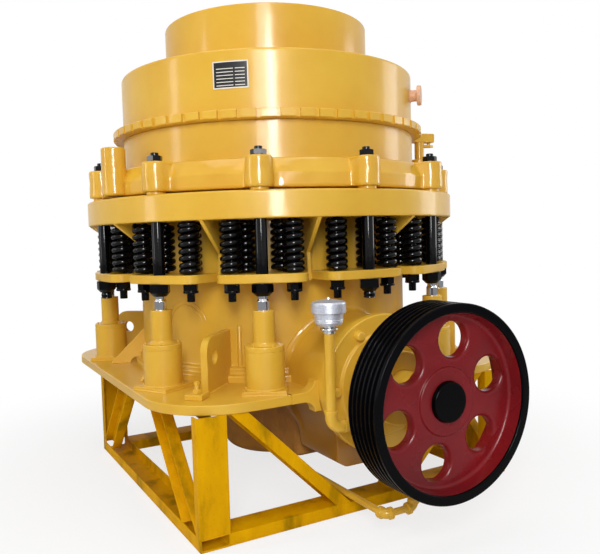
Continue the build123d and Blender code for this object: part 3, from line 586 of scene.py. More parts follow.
def bar(start, way, u, v, cuts):
    """Rolled channel: each point of the section, laid out along u and v, runs along way from
    where it meets the first cut plane to where it meets the second. A cut is (normal,
    distance)."""
    start, way = np.asarray(start, float), np.asarray(way, float)
    ring = start + SECTION[:, :1] * np.asarray(u, float) + SECTION[:, 1:] * np.asarray(v, float)
    rows = []
    for normal, distance in cuts:
        normal = np.asarray(normal, float)
        rows.append(ring + ((distance - ring @ normal) / (way @ normal))[:, None] * way)
    low, high = rows
    return [skin(np.stack([low + (high - low) * t for t in (0.0, 0.02, 0.98, 1.0)]))]


def side_rails():
    """Channels open upwards, along both sides."""
    out = []
    for side in (-1, 1):
        start = (0, side * (HALF_Y - CHANNEL_W / 2), 0)
        out += bar(start, (1, 0, 0), (0, 1, 0), UP, [((1, 0, 0), X0), ((1, 0, 0), X1)])
    return out


def end_rails():
    """Channels open downwards, across front and back between the side rails."""
    out = []
    reach = HALF_Y - CHANNEL_W
    for x in (X0 + CHANNEL_W / 2, X1 - CHANNEL_W / 2):
        cuts = [((0, 1, 0), -reach), ((0, 1, 0), reach)]
        out += bar((x, 0, CHANNEL_F), (0, 1, 0), (1, 0, 0), (0, 0, -1), cuts)
    return out


def stand_legs():
    """Corner legs, webs in the front and back faces, flanges inwards, a weld at each foot."""
    out = []
    for x, inward, side in STAND_CORNERS:
        y = side * (HALF_Y - CHANNEL_W / 2)
        out += bar((x, y, 0), UP, (0, 1, 0), (inward, 0, 0), RAIL_TO_DECK)
        out += weld([(x + inward, y + way, CHANNEL_F + 1) for way in (-62, 62)], 4.0)
    return out


def end_braces():
    """V braces on edge: one flange in the face, web on the upper side."""
    out = []
    for x, inward, side in STAND_CORNERS:
        way = np.array([0, side * (END_BRACE_TOP - END_BRACE_FOOT), STAND_RISE])
        way = way / np.linalg.norm(way)
        square = np.array([0, side * way[2], -abs(way[1])])
        foot = np.array([x + inward * CHANNEL_W / 2, side * END_BRACE_FOOT, CHANNEL_F])
        out += bar(foot - square * CHANNEL_F / 2, way, (inward, 0, 0), square, RAIL_TO_DECK)
    return out


def side_braces():
    """Raked braces lying in the side faces: web inside, lips outwards."""
    out = []
    for side in (-1, 1):
        for top, run in zip(SIDE_BRACE_TOPS, (SIDE_BRACE_RUN, -SIDE_BRACE_RUN)):
            way = np.array([-run, 0, STAND_RISE])
            way = way / np.linalg.norm(way)
            square = np.array([way[2], 0, -way[0]])
            start = (top + run, side * (HALF_Y - CHANNEL_F), CHANNEL_F)
            out += bar(start, way, square, (0, side, 0), RAIL_TO_DECK)
    return out


dress("stand_side_rails", side_rails(), "frame", STAND)
dress("stand_end_rails", end_rails(), "frame", STAND)
dress("stand_legs", stand_legs(), "frame", STAND)
dress("stand_end_braces", end_braces(), "frame", STAND)
dress("stand_side_braces", side_braces(), "frame", STAND)


# Base plate and what stands on it

PLATE_CORNER_R = 320.0
NOTCH_HALF = 395.0
NOTCH_X = PLATE_HALF - 52.0
BRACKET_T = 52.0
BRACKET_HALF = 394.0
BRACKET_RISE = 44.0
BRACKET_PROUD = 1.5
WALL = BODY_R - 2
GUSSET_SIDE = 174.0
MOUSE_HOLE_R = 30.0
RIB_HALF_T = 9.0
LUG_OUTER = 955.0
LUG_HALF_T = 15.5
EYE_R = 30.0
CYLINDER_R = 81.5
CYLINDER_TOP = PLATE_TOP + 192.0
SLEEVE_R = 45.0
SLEEVE_BORE = 27.0
PAD_HALF = 89.0
PAD_T = 16.0


def base_plate():
    """Flame-cut plate: square with wide round corners, stepped back before the drive housing."""
    h, r = PLATE_HALF, PLATE_CORNER_R
    corners = [(-h, -h), (h, -h), (h, -NOTCH_HALF), (NOTCH_X, -NOTCH_HALF), (NOTCH_X, NOTCH_HALF),
               (h, NOTCH_HALF), (h, h), (-h, h)]
    outline = cut_outline(corners, [r, r, 3, 3, 3, 3, r, r], 16, most=0.7)
    return prism(outline, PLATE_BOTTOM, PLATE_TOP, 3.0)


def web_brackets():
    """Brackets that flare from the plate to the housing, with hollow curves above and below:
    over a quarter turn t the depth grows as 1 - cos t while the bracket runs in as sin t."""
    t = np.linspace(0, 1, 14) * math.pi / 2
    deep = BRACKET_RISE * (1 - np.cos(t))
    y = 340.0 - 52.0 * np.sin(t)
    top_z = PLATE_TOP + BRACKET_PROUD
    top = np.stack([-y, top_z + deep], -1)
    low = np.stack([-y, PLATE_BOTTOM - deep], -1)[::-1]
    inside = [(-200, PLATE_TOP + BRACKET_RISE), (-200, PLATE_BOTTOM - BRACKET_RISE)]
    outline = np.concatenate([[(-BRACKET_HALF, top_z)], top, inside, low,
                              [(-BRACKET_HALF, PLATE_BOTTOM)]])
    web = placed(prism(outline, 0, BRACKET_T), spin(90, 2) @ spin(90, 0),
                 (PLATE_HALF - BRACKET_T, 0, 0))
    return web + [(p * (1, -1, 1), q, c) for p, q, c in web]


def frame_shell():
    """Body from the plate to the flange with its two rounded foot bands, a post beside each
    front lug and the arched outline of a cover between them."""
    z, step, band = PLATE_TOP, FOOT_BAND_H, FOOT_BAND
    corners = [(0, z), (BODY_R + 2 * band, z), (BODY_R + 2 * band, z + step),
               (BODY_R + band, z + step), (BODY_R + band, z + 2 * step),
               (BODY_R, z + 2 * step), (BODY_R, FLANGE_LOW[2]), (0, FLANGE_LOW[2])]
    out = lathe(corners, [0, 0, 12, 12, 12, 14, 4, 0], 5, 160)
    post = turned([(0, 575), (11, 575), (11, 795), (7, 802), (0, 802)], 20)
    out += repeated(post, (319.7, 220.3), WALL)
    for angle in (297.0, 243.0):
        for reach in (118.0, 98.0):
            arch = circle(reach, 0, 30, 15.0, 165.0)
            a = math.radians(angle) + arch[:, 0] / BODY_R
            out += weld(around(BODY_R, a, 790.0 + arch[:, 1]), 2.2, pitch=60.0)
    return out


def frame_ribs():
    """Tapered ribs under the flange, welded along both sides."""
    foot, top = RIB_FOOT_Z, FLANGE_LOW[2]
    corners = [(WALL, foot), (BODY_R + 66, foot), (BODY_R + 52, foot + 122), (FLANGE_R - 2, top),
               (WALL, top)]
    rib = upright(prism(cut_outline(corners, [0, 4, 6, 2, 0], 3), -RIB_HALF_T, RIB_HALF_T))
    for y in (-RIB_HALF_T, RIB_HALF_T):
        rib += weld([(BODY_R, y, foot), (BODY_R, y, top)], 4.0)
        rib += weld([(BODY_R, y, top), (FLANGE_R - 10, y, top)], 4.0)
    return repeated(rib, [a + 15 for a in GROUPS])


def lifting_lugs():
    """Radial plates with a rounded shoulder, an eye, and a weld round the foot."""
    low, high = LUG_LOW_Z, LUG_HIGH_Z
    outline = dense(cut_outline(band(WALL, LUG_OUTER, low, high), [0, 3, 65, 0], 10), 14.0)
    eye = np.array([878.0, high - 89.0])
    lug = upright(hole_plate(outline, eye, EYE_R, -LUG_HALF_T, LUG_HALF_T))
    for y in (-16, 16):
        lug += weld([(BODY_R + 44, y, low), (LUG_OUTER, y, low)])
    lug += weld([(LUG_OUTER, -16, low), (LUG_OUTER, 16, low)])
    return repeated(lug, CORNERS)


def frame_gussets():
    """Triangular gussets with a mouse-hole at the inner corner."""
    z, tip = PLATE_TOP, BODY_R + GUSSET_SIDE
    t = np.radians(np.linspace(0, 90, 12))[::-1]
    hole = around(MOUSE_HOLE_R, t, 0)[:, :2] + (BODY_R + 44, z)
    outline = np.concatenate([[(tip, z), (tip, z + 6), (WALL, z + 180), (WALL, z + 30)], hole])
    gusset = upright(prism(outline, -RIB_HALF_T, RIB_HALF_T))
    gusset += weld([(BODY_R + 90, -10, z), (tip - 2, -10, z)], 4.0)
    return repeated(gusset, [72.0, 108.0, 252.0, 288.0])


def corner_clamps():
    """Clamp block, nut and long bolt on each corner."""
    z = PLATE_TOP
    clamp = slab(37, z, z + 22)
    clamp += hexagon(36.0, z + 22, z + 38, 36)
    clamp += thread(9.0, z + 38, z + 68, 4.0)
    clamp += hexagon(26.0, z + 58, z + 69, 36)
    return repeated(clamp, CORNERS, LUG_OUTER + 76.0)


def release_cylinders():
    """Pad, drum with its end-cap joint, weld collar and sleeve, all round one rod."""
    z, top, r, half = PLATE_TOP, CYLINDER_TOP, CYLINDER_R, PAD_HALF
    out = slab(half, z, z + PAD_T)
    corners = [(0, z + PAD_T), (r, z + PAD_T), (r, top - 24), (r - 2, top - 22), (r, top - 20),
               (r, top), (58, top), (SLEEVE_R, top + 12), (SLEEVE_R, SLEEVE_TOP),
               (SLEEVE_BORE, SLEEVE_TOP), (SLEEVE_BORE, SLEEVE_TOP - 60)]
    out += lathe(corners, [0, 0, 0.5, 0.5, 0.5, 4, 6, 8, 3, 1.5, 0], 4, 72)
    out += weld(circle(82, z + PAD_T + 1, 60), 6.0, pitch=12.0)
    out += weld(circle(48, top + 1, 40), 6.0, pitch=10.0)
    out += repeated(drum(5.0, top - 1, top + 9, 2.0, 16), (35.0, 145.0, 215.0, 325.0), 70.0)
    for foot in ([(-half, -90), (half, -90)], [(90, -half), (90, half)], [(-half, 90), (half, 90)]):
        out += weld([(x, y, z + 1) for x, y in foot], 4.0)
    return repeated(out, CYLINDER_GROUPS, GROUP_R)


def spring_flange():
    """Heavy flange ring with rounded rims, open in the middle."""
    corners = band(FLANGE_BORE, FLANGE_R, FLANGE_LOW[2], FLANGE_HIGH[2])
    return lathe(corners, [0, 5, 9, 3], 5, 200, closed=True)


dress("base_plate", base_plate(), "frame", YELLOW)
dress("web_brackets", web_brackets(), "frame", YELLOW)
dress("frame_shell", frame_shell(), "frame", YELLOW)
dress("frame_ribs", frame_ribs(), "frame", YELLOW)
dress("lifting_lugs", lifting_lugs(), "frame", YELLOW)
dress("frame_gussets", frame_gussets(), "frame", YELLOW)
dress("corner_clamps", corner_clamps(), "frame", YELLOW)
dress("release_cylinders", release_cylinders(), "frame", YELLOW)
dress("spring_flange", spring_flange(), "frame", YELLOW)


# Springs


def coil(radius, wire, turns, sides):
    """Closed-end spring: angle grows evenly, height grows slowly over the first and last turn
    and evenly between, so that the end turns lie flat."""
    turn = np.linspace(0, turns, int(turns * 16) + 1)
    slope = np.clip(np.minimum(turn, turns - turn) / 0.9, 0.35, 1.0)
    rise = np.concatenate([[0], np.cumsum((slope[1:] + slope[:-1]) / 2)])
    z = SPRING_LOW_Z + wire / 2 + rise / rise[-1] * (SPRING_HIGH_Z - SPRING_LOW_Z - wire)
    return swept(around(radius, turn * 2 * math.pi, z), wire / 2, sides)


COIL = coil(SPRING_R - SPRING_WIRE / 2, SPRING_WIRE, 7.6, 8) + coil(16.0, 12.0, 14.0, 6)
for side, first in (("front", -30.0), ("right", 60.0), ("back", 150.0), ("left", 240.0)):
    bank = []
    for group in (first, first + 30.0, first + 60.0):
        for number, (radius, across) in enumerate((SPRING_FRONT, SPRING_REAR)):
            for way in (-1, 1):
                one = placed(COIL, spin(group * 3 + number * 70 + way * 50))
                bank += repeated(one, [group], radius, way * across)
    node = "springs_" + side
    made = piece(node + "_wound", bank, "frame", BLACK, [node], 60.0)
    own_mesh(made)


# What lifts with the adjustment ring

LOBE_LOW = FLANGE_HIGH[2] + 13.0
LOBE_TOP = RING_HIGH[2]
LOBE_WALL_TOP = LOBE_LOW + 60.0
LOBE_RING_R = GROUP_R - 18.0
LOBE_FALL = 34.0
LOBE_BLEND = 26.0
LOBE_HALF_PITCH = math.pi / 12
HALVINGS = 26
PLATE_NUT_H = 53.0
STUD_NUT_H = 42.0


def ring_radius(t, z, grow):
    """Outer radius of the lobed ring at angle t and height z: the radius at which the distance to
    the wall and the distance to the nearest lobe's post, blended over 26 mm, comes to zero. It is
    found by halving an interval."""
    slope = np.clip((z - LOBE_WALL_TOP) / (LOBE_TOP - LOBE_WALL_TOP), 0, 1)
    wall = LOBE_RING_R - LOBE_FALL * slope ** 1.1 + grow
    off = (t + LOBE_HALF_PITCH) % (2 * LOBE_HALF_PITCH) - LOBE_HALF_PITCH
    low, high = np.full_like(t, 780.0), np.full_like(t, 990.0)
    for _ in range(HALVINGS):
        r = (low + high) / 2
        to_wall = r - wall
        to_post = np.hypot(r * np.cos(off) - GROUP_R, r * np.sin(off)) - BOSS_R - grow
        h = np.clip(0.5 + 0.5 * (to_post - to_wall) / LOBE_BLEND, 0, 1)
        both = to_post * (1 - h) + to_wall * h - LOBE_BLEND * h * (1 - h)
        low, high = np.where(both < 0, r, low), np.where(both < 0, high, r)
    return (low + high) / 2


def adjustment_ring():
    """Lobed casting: rows climb the outside in the radius above, then run in over the top.
    A slow sum of sines, 1.5 mm at most, makes it as uneven as cast steel under thick paint."""
    t = full_turn(1440)
    climb = [(LOBE_LOW + rise, 0) for rise in (3, 12, 30, 48, 55, 60, 66, 82, 102)]
    climb = [(LOBE_LOW, -3.0)] + climb
    climb += [(LOBE_TOP - 10, 0), (LOBE_TOP - 5, -1.0), (LOBE_TOP - 1.6, -3.2)]
    rows = []
    for height, grow in climb:
        uneven = 0.9 * np.sin(17 * t + height / 21) + 0.6 * np.sin(41 * t - height / 13)
        rows.append(around(ring_radius(t, height, grow) - 1.5 + uneven, t, height))
    rim = ring_radius(t, LOBE_TOP, -6.0)
    inner, foot = NECK_R - 20, LOBE_LOW - 12.5
    for r, height in ((rim, LOBE_TOP), ((rim + NECK_R) / 2, LOBE_TOP), (inner, LOBE_TOP),
                      (inner, foot), (RING_BORE, foot), (RING_BORE, LOBE_LOW)):
        rows.append(around(r, t, height))
    return [skin(np.stack(rows), loop=True)]


def clamping_neck():
    """Plain turned sleeve between the lobed ring and the toothed ring."""
    return turned(band(NECK_BORE, NECK_R, LOBE_TOP - 2, TEETH_LOW[2] - 1), 200, closed=True)


def tall_bosses():
    """Pillars with a rounded rim."""
    return repeated(drum(54.0, LOBE_LOW, LOBE_TOP + 90.0, 9.0, 48), TALL_BOSSES, GROUP_R)


def locking_pawl():
    """Pawl on its post: block with a nose towards the teeth, and a pointed plate under its
    tail."""
    z = TEETH_LOW[2] + 17.0
    nose = 808.0 - GROUP_R + 2.0
    tip = nose + 174
    out = drum(27.0, LOBE_TOP + 88.0, z + 1, 2.0, 32)
    block = [(nose, -16), (nose + 40, -30), (nose + 165, -30), (nose + 165, 30), (nose + 40, 30),
             (nose, 16)]
    out += prism(cut_outline(block, 5, 3), z, z + 50, 4.0)
    point = [(10, -26), (56, -26), (tip, 0), (56, 26), (10, 26)]
    out += prism(cut_outline(point, 4, 3), z - 26, z - 12)
    out += placed(drum(9.0, z - 14, z + 2, 1.0, 20), move=(60, 0, 0))
    return repeated(out, [TALL_BOSSES[1]], GROUP_R)


def seat_collars():
    """Spacers between flange and lobes, round the bolts."""
    return repeated(drum(40.0, FLANGE_HIGH[2] - 0.2, LOBE_LOW + 0.2, 1.5, 40), GROUPS, GROUP_R)


def guide_bolts():
    """Smooth black sleeves from the spring plates up into the flange."""
    return repeated(drum(BOLT_R, CARRIER_LOW_Z, FLANGE_HIGH[2] + 20, 1.5, 48), GROUPS, GROUP_R)


def top_nuts():
    """Hexagon, washer and turned end on each lobe."""
    low, end = TOP_NUT_LOW_Z, TOP_NUT_HIGH_Z - 1
    nut = hexagon(67.0, low + 3, low + 26) + drum(31.0, low - 1, low + 4, 1.0, 32)
    nut += lathe(band(0, 17, low + 24, end), [0, 0, 3, 0], 3, 24)
    return repeated(nut, GROUPS, GROUP_R)


def spring_plates():
    """Sector plates: a front edge about the machine's axis that turns into wide round corners,
    sides parallel to the middle line, and an arc behind."""
    t = np.radians(np.linspace(-11.8, 11.8, 15))
    front = around(GROUP_R + 30, t, 0)[:, :2]
    back = around(GROUP_R - 178, t[::-1], 0)[:, :2]
    back[[0, -1], 1] = front[[-1, 0], 1]
    edge = np.concatenate([front[:1], front[4:11], front[-1:], back])
    radii = [100.0] + [0] * 7 + [100.0] + [6.0] + [0] * 13 + [6.0]
    plate = prism(cut_outline(edge, radii, 10), CARRIER_LOW_Z, CARRIER_HIGH_Z, 3.0)
    return repeated(plate, GROUPS)


def plate_nuts():
    """Big nuts that taper at the foot; a plain threaded end shows where no rod follows."""
    low, high = CARRIER_LOW_Z - PLATE_NUT_H, CARRIER_LOW_Z
    nut = hexagon(90.0, low + 13, high - 4) + drum(43.0, high - 5, high, 1.0, 40)
    nut += turned([(28, low), (41, low + 14), (0, low + 14)], 40)
    bare = nut + thread(BOLT_R, low + 2, low - 28.0, 6.0, 32)
    out = []
    for angle in GROUPS:
        out += repeated(nut if angle in CYLINDER_GROUPS else bare, [angle], GROUP_R)
    return out


def release_rods():
    """Ground rods, turned down to a short neck below the nut."""
    top, foot = CARRIER_LOW_Z - PLATE_NUT_H, ROD_FOOT_Z + 10
    corners = [(0, foot), (26, foot), (26, top - 20), (21.5, top - 12), (21.5, top), (0, top)]
    return repeated(lathe(corners, [0, 0, 3, 2, 0, 0], 3, 48), CYLINDER_GROUPS, GROUP_R)


def spring_studs():
    """Nut that flares at its lower rim, washer, and plain end below a plate."""
    low, high = CARRIER_LOW_Z - STUD_NUT_H, CARRIER_LOW_Z
    stud = hexagon(65.0, low + 6, high - 5) + drum(32.0, high - 6, high, 1.0, 32)
    stud += drum(33.0, low, low + 11, 3.0, 32) + drum(17.0, STUD_FOOT_Z, low + 2, 2.0, 24)
    radius, across = SPRING_FRONT
    return repeated(stud, GROUPS, radius, across) + repeated(stud, GROUPS, radius, -across)


dress("adjustment_ring", adjustment_ring(), "release", CAST_YELLOW, sharp=50.0)
dress("clamping_neck", clamping_neck(), "release", YELLOW)
dress("tall_bosses", tall_bosses(), "release", CAST_YELLOW)
dress("locking_pawl", locking_pawl(), "release", YELLOW)
dress("seat_collars", seat_collars(), "release", YELLOW)
dress("guide_bolts", guide_bolts(), "release", BLACK)
dress("top_nuts", top_nuts(), "release", BLACK)
dress("spring_plates", spring_plates(), "release", YELLOW)
dress("plate_nuts", plate_nuts(), "release", BLACK)
dress("release_rods", release_rods(), "release", CHROME)
dress("spring_studs", spring_studs(), "release", BLACK)


# What turns with the bowl

TEETH = 60
TOOTH_DEPTH = 14.0
PLATE_Z = CAP_HIGH[2] - 109.0
PLATE_ANGLE = math.radians(321.0)


def toothed_ring():
    """Flame-cut tooth ring: the radius drops into sixty slots a quarter of a pitch wide, and the
    lower rim wanders a little, as the torch left it."""
    part = np.array([0.0, 0.11, 0.125, 0.5, 0.875, 0.89])
    deep = np.array([1, 1, 0, 0, 0, 1]) * TOOTH_DEPTH
    t = ((np.arange(TEETH)[:, None] + part) * 2 * math.pi / TEETH).ravel()
    outer = TEETH_HIGH[0] - np.tile(deep, TEETH)
    low, high = TEETH_LOW[2], TEETH_HIGH[2]
    sag = 1.2 * np.sin(13 * t) + 0.8 * np.sin(29 * t + 1)
    rows = ((NECK_R - 8, low), (outer - 3, low + 3 + sag), (outer, low + 6 + sag),
            (outer, high - 3), (outer - 3, high), (CAP_R - 8, high), (THROAT_R, high),
            (THROAT_R, low))
    return [skin(np.stack([around(r, t, z) for r, z in rows]), loop=True)]


def bowl_cap():
    """Cap wall and roof with a rounded rim, open at the throat."""
    corners = band(THROAT_R, CAP_R, CAP_LOW[2], CAP_HIGH[2])
    out = lathe(corners, [0, 0, 10, 3], 6, 200, closed=True)
    return out + weld(circle(CAP_R + 1, CAP_LOW[2] + 1, 200))


def feed_hopper():
    """Rolled plate cylinder, welded to the cap."""
    corners = band(HOPPER_R - HOPPER_WALL, HOPPER_R, HOPPER_LOW[2], HOPPER_HIGH[2])
    out = lathe(corners, [0, 0, 3, 3], 3, 160, closed=True)
    return out + weld(circle(HOPPER_R + 1, HOPPER_LOW[2] + 1, 160), 6.0)


def trunnions():
    """Lifting pins: neck with a disc head."""
    corners = [(0, -3), (28, -3), (28, 36), (49, 36), (49, 56), (0, 56)]
    pin = lathe(corners, [0, 0, 5, 3, 4, 0], 4, 48) + weld(circle(29, 0, 40))
    pin = placed(pin, LYING, (CAP_R, 0, (PIN_LOW[2] + PIN_HIGH[2]) / 2))
    return repeated(pin, (45.0, 225.0))


def patch(u0, u1, v0, v1, lift, foot=0.0):
    """Thin panel bent to the cap, u round the cap and v up from the nameplate's middle: columns
    across in u, rows from the foot up over the face and back."""
    angle = PLATE_ANGLE + np.linspace(u0, u1, max(int((u1 - u0) / 12), 1) + 1) / CAP_R
    rows = [around(CAP_R + proud, angle, PLATE_Z + v)
            for v, proud in ((v0, foot), (v0, lift), (v1, lift), (v1, foot))]
    return [skin(np.stack(rows, 1))]


def nameplate_marks():
    """Pale border and plain ruled lines, raised a little from the plate."""
    out = []
    for u, v in ((-77.5, -57.5), (72.5, 52.5)):
        out += patch(u, u + 5.0, -57.5, 57.5, 2.4, 0.3)
        out += patch(-77.0, 77.0, v, v + 5.0, 2.3, 0.3)
    for line in range(6):
        v = 26.0 - 14.0 * line
        for u0, u1 in ((-62.0, 12.0), (20.0, 62.0)):
            out += patch(u0, u1, v - 1.6, v + 1.6, 2.2, 1.0)
    return out


dress("toothed_ring", toothed_ring(), "bowl", YELLOW, sharp=28.0)
dress("bowl_cap", bowl_cap(), "bowl", YELLOW)
dress("feed_hopper", feed_hopper(), "bowl", YELLOW)
dress("trunnions", trunnions(), "bowl", PALE)
piece("nameplate_face", patch(-76.0, 76.0, -56.0, 56.0, 1.6), "bowl", PLATE_BLACK, ["nameplate"])
piece("nameplate_marks", nameplate_marks(), "bowl", PALE_MARK, ())


# Below the base plate, and the drive

SUMP_HALF = 215.0
SUMP_DEPTH = 334.0
HOUSING_R = 273.0
HOUSING_BLEND = 18.0
COVER_FACE = 40.0
SHEAVE_W = SHEAVE_HIGH[0] - SHEAVE_LOW[0]
GROOVE_PITCH = 25.5
GROOVE_DEPTH = 19.0
LIP_R = SHEAVE_R - 36.0
WEB_FRONT = SHEAVE_W - 65.0
WEB_BACK = WEB_FRONT - 45.0
WEB_HOLE_AT = (230.0, 0)
WEB_HOLE_R = 68.0
SHAFT_BORE = 76.0
PIPE_R = 20.0
PIPE_BEND = 42.0
DRAIN_R = 14.0
DRAIN_BEND = 26.0


def lower_hub():
    """Hub with a rounded bottom, gear case behind the housing, and a round boss beside it."""
    top = PLATE_BOTTOM
    out = lathe(band(0, 287, HUB_FOOT_Z, top), [0, 55, 0, 0], 8, 96)
    case = cut_outline(band(0, 600, -SUMP_HALF, SUMP_HALF), 30)
    out += prism(case, top - 330.0, top, 10.0)
    boss = lathe(band(0, 114, top - 387, top), [0, 40, 0, 0], 6)
    return out + placed(boss, move=(344, 0, 0))


def housing_radius(t, out):
    """Radius of the drive housing about the shaft. Above: a hollow fillet at the body wall, then a
    tube. Below: the tube run together with a box 215 to each side and 334 deep. out is the
    distance from the body wall."""
    near = np.clip(1 - out / 30.0, 0, 1)
    swell = 5.0 * np.clip(1 - out / 260.0, 0, 1) + 22.0 * (1 - np.sqrt(1 - near ** 2))
    tube = HOUSING_R + swell
    c, s = np.maximum(np.abs(np.cos(t)), 1e-6), np.maximum(-np.sin(t), 1e-6)
    box = np.minimum(SUMP_HALF / c, SUMP_DEPTH / s)
    joint = np.logaddexp(tube / HOUSING_BLEND, box / HOUSING_BLEND) * HOUSING_BLEND
    corner = np.hypot(SUMP_HALF, SUMP_DEPTH) - 22
    return np.where(np.sin(t) < 0, np.minimum(joint, corner), tube)


def drive_housing():
    """Cast housing: rows run out along the shaft, each a ring of the radius above; the first rows
    follow the round wall of the body, x = sqrt(body radius^2 - y^2) plus the distance from it."""
    parts = [[-0.1, -0.02], np.linspace(0, 0.12, 12), np.linspace(0.16, 1.0, 14), [1.0]]
    share, t = np.meshgrid(np.concatenate(parts), full_turn(180), indexing="ij")
    wall = np.sqrt(BODY_R ** 2 - (285.0 * np.cos(t)) ** 2)
    x = wall + (HOUSING_END_X - wall) * share
    r = housing_radius(t, np.maximum(x - wall, 0))
    r[-1] -= 4.0
    x[-2] -= 4.0
    return [skin(np.stack([x, r * np.cos(t), SHAFT_Z + r * np.sin(t)], -1))]


def housing_cover():
    """End cover: flange, raised middle, stepped seal neck, and six round-headed bolts."""
    face, long = COVER_FACE, COVER_HIGH[0] - COVER_LOW[0]
    corners = [(0, 0), (COVER_R, 0), (COVER_R, face), (222, face), (215, face + 12),
               (160, face + 12), (150, face + 20), (150, long), (SHAFT_BORE, long),
               (SHAFT_BORE, 0)]
    cover = lathe(corners, [0, 3, 6, 4, 5, 8, 8, 6, 2, 0], 4, 120)
    corners = [(0, face - 1), (23, face - 1), (21, face + 8), (19, face + 26), (0, face + 28)]
    head = lathe(corners, [0, 2, 5, 8, 0], 4, 24)
    cover += repeated(head, np.arange(6) * 60.0 + 91.0, 246.0)
    return along_x(cover, COVER_LOW[0])


def grooved_rim():
    """Rim: the radius drops into six tapered grooves across its width, then runs down the front
    face to the lip and back inside."""
    line = [(SHEAVE_R, 0.0)]
    floor = SHEAVE_R - GROOVE_DEPTH
    for i in range(6):
        x = 13.5 + i * GROOVE_PITCH
        line += [(SHEAVE_R, x - 8.5), (floor, x - 4.5), (floor, x + 4.5), (SHEAVE_R, x + 8.5)]
    line += [(SHEAVE_R, SHEAVE_W), (LIP_R, SHEAVE_W), (LIP_R, SHEAVE_W - 12),
             (LIP_R + 8, SHEAVE_W - 12), (LIP_R + 8, 0)]
    radii = [2] + [1.2, 2.5, 2.5, 1.2] * 6 + [5, 6, 1, 0, 3]
    return along_x(lathe(line, radii, 3, 144, closed=True), SHEAVE_LOW[0])


def sheave_web():
    """Web in six sectors, each with a round hole: points on the hole and on the sector's edge are
    joined over the front, through the hole and behind. Hub and inner rim wall are turned; the
    wall flares from the web to the lip."""
    a = np.radians(np.linspace(-30, 30, 21))
    inner, outer = 118.0, 316.0
    side = np.linspace(outer, inner, 9)[1:-1]
    sides = (around(outer, a, 0), around(side, a[-1], 0), around(inner, a[::-1], 0),
             around(side[::-1], a[0], 0))
    edge = np.concatenate(sides)[:, :2]
    spoke = edge - WEB_HOLE_AT
    way = spoke / np.linalg.norm(spoke, axis=1, keepdims=True)
    rows = [(edge, WEB_FRONT)]
    for wide, z in ((16.0, WEB_FRONT), (12.0, WEB_FRONT - 0.6), (7.0, WEB_FRONT - 3.0),
                    (3.0, WEB_FRONT - 7.0), (0.5, WEB_FRONT - 12.0), (0.0, WEB_FRONT - 18.0),
                    (0.0, WEB_BACK + 4), (4.0, WEB_BACK)):
        rows.append((WEB_HOLE_AT + way * (WEB_HOLE_R + wide), z))
    rows.append((edge, WEB_BACK))
    out = repeated([skin(stacked(rows), ends=False)], np.arange(6) * 60.0 + 48.7)
    hub = [(SHAFT_BORE, -90), (130, -90), (130, -6), (146, -1), (146, 0), (130, 1), (126, 10),
           (SHAFT_BORE, 10)]
    hub = lathe(hub, [2, 6, 0, 0, 0, 5, 7, 3], 5, 96, closed=True)
    out += placed(hub, move=(0, 0, WEB_FRONT))
    wall = [(LIP_R + 9, 3), (LIP_R, 3), (LIP_R - 8, WEB_BACK), (296, WEB_BACK), (296, WEB_FRONT),
            (LIP_R - 9, WEB_FRONT + 0.5), (LIP_R - 0.5, SHEAVE_W - 10), (LIP_R + 9, SHEAVE_W - 10)]
    out += lathe(wall, [0, 2, 12, 0, 0, 26, 0, 0], 8, 144, closed=True)
    return along_x(out, SHEAVE_LOW[0])


def countershaft():
    """Painted shaft up to the sheave, and its plain rounded end, which is black."""
    start = 801.0
    join = SHEAVE_LOW[0] + SHEAVE_W - 60.0
    painted = turned(band(0, 74.5, 0, join - start + 2), 64)
    end = lathe(band(0, 75, 0, SHAFT_END_X - join), [0, 0, 5, 0])
    return along_x(painted, start), along_x(end, join)


def bead(middle, way, half, radius, high, sides):
    """Raised band round the mouth of a pipe fitting: the radius steps up and down again."""
    line = np.asarray(middle, float) + np.outer([-half, 2 - half, half - 2, half], way)
    return swept(line, [radius, high, high, radius], sides)


def vent_pipe():
    """Screwed pipe: up from the seal neck through a beaded elbow to the breather."""
    x, y = BREATHER_X, BREATHER_Y
    low, high, bend = VENT_LOW[2] + PIPE_R, VENT_HIGH[2], PIPE_BEND
    t = np.linspace(0, math.pi / 2, 12)
    elbow = np.stack([x + 0 * t, y + bend * (1 - np.sin(t)), low + bend * (1 - np.cos(t))], -1)
    out = swept([(x, -90.0, low), (x, y + bend + 20, low)], PIPE_R, 24)
    out += swept([(x, y, low + bend - 4), (x, y, high + 4)], PIPE_R, 24)
    body = np.concatenate([[(x, y + bend + 22, low)], elbow, [(x, y, low + bend + 24)]])
    out += swept(body, 23.5, 28)
    out += bead((x, y, low + bend + 18), UP, 8, 23.5, 26.0, 28)
    return out + bead((x, y + bend + 18, low), (0, 1, 0), 8, 23.5, 26.0, 28)


def breather_drums():
    """Breather cap: tapered drum with a bead round it, wider lid with a shallow dome, a tip."""
    lower = [(0, 22), (47, 22), (54, 34), (53.5, 40), (55.5, 43), (54.5, 46), (57, 71), (0, 71)]
    lid = [(0, 69), (65, 69), (66.5, 72), (66.5, 106), (62, 112), (20, 121), (0, 122)]
    out = lathe(lower, [0, 5, 5, 2, 2, 2, 0, 0], 4, 72) + lathe(lid, [0, 3, 2, 4, 5, 8, 0], 4, 72)
    out += turned([(0, 119), (7, 119), (5, 128), (2, 128.8), (0, 128.8)], 16)
    return placed(out, move=(BREATHER_X, BREATHER_Y, BREATHER_FOOT))


def breather_fitting():
    """Bright union under the breather: neck, thin disc and lock ring."""
    out = drum(22.0, 12, 24, 2.0, 36) + drum(34.0, 3, 12, 3.0, 40) + drum(23.0, -10, 4, 2.0, 36)
    return placed(out, move=(BREATHER_X, BREATHER_Y, BREATHER_FOOT))


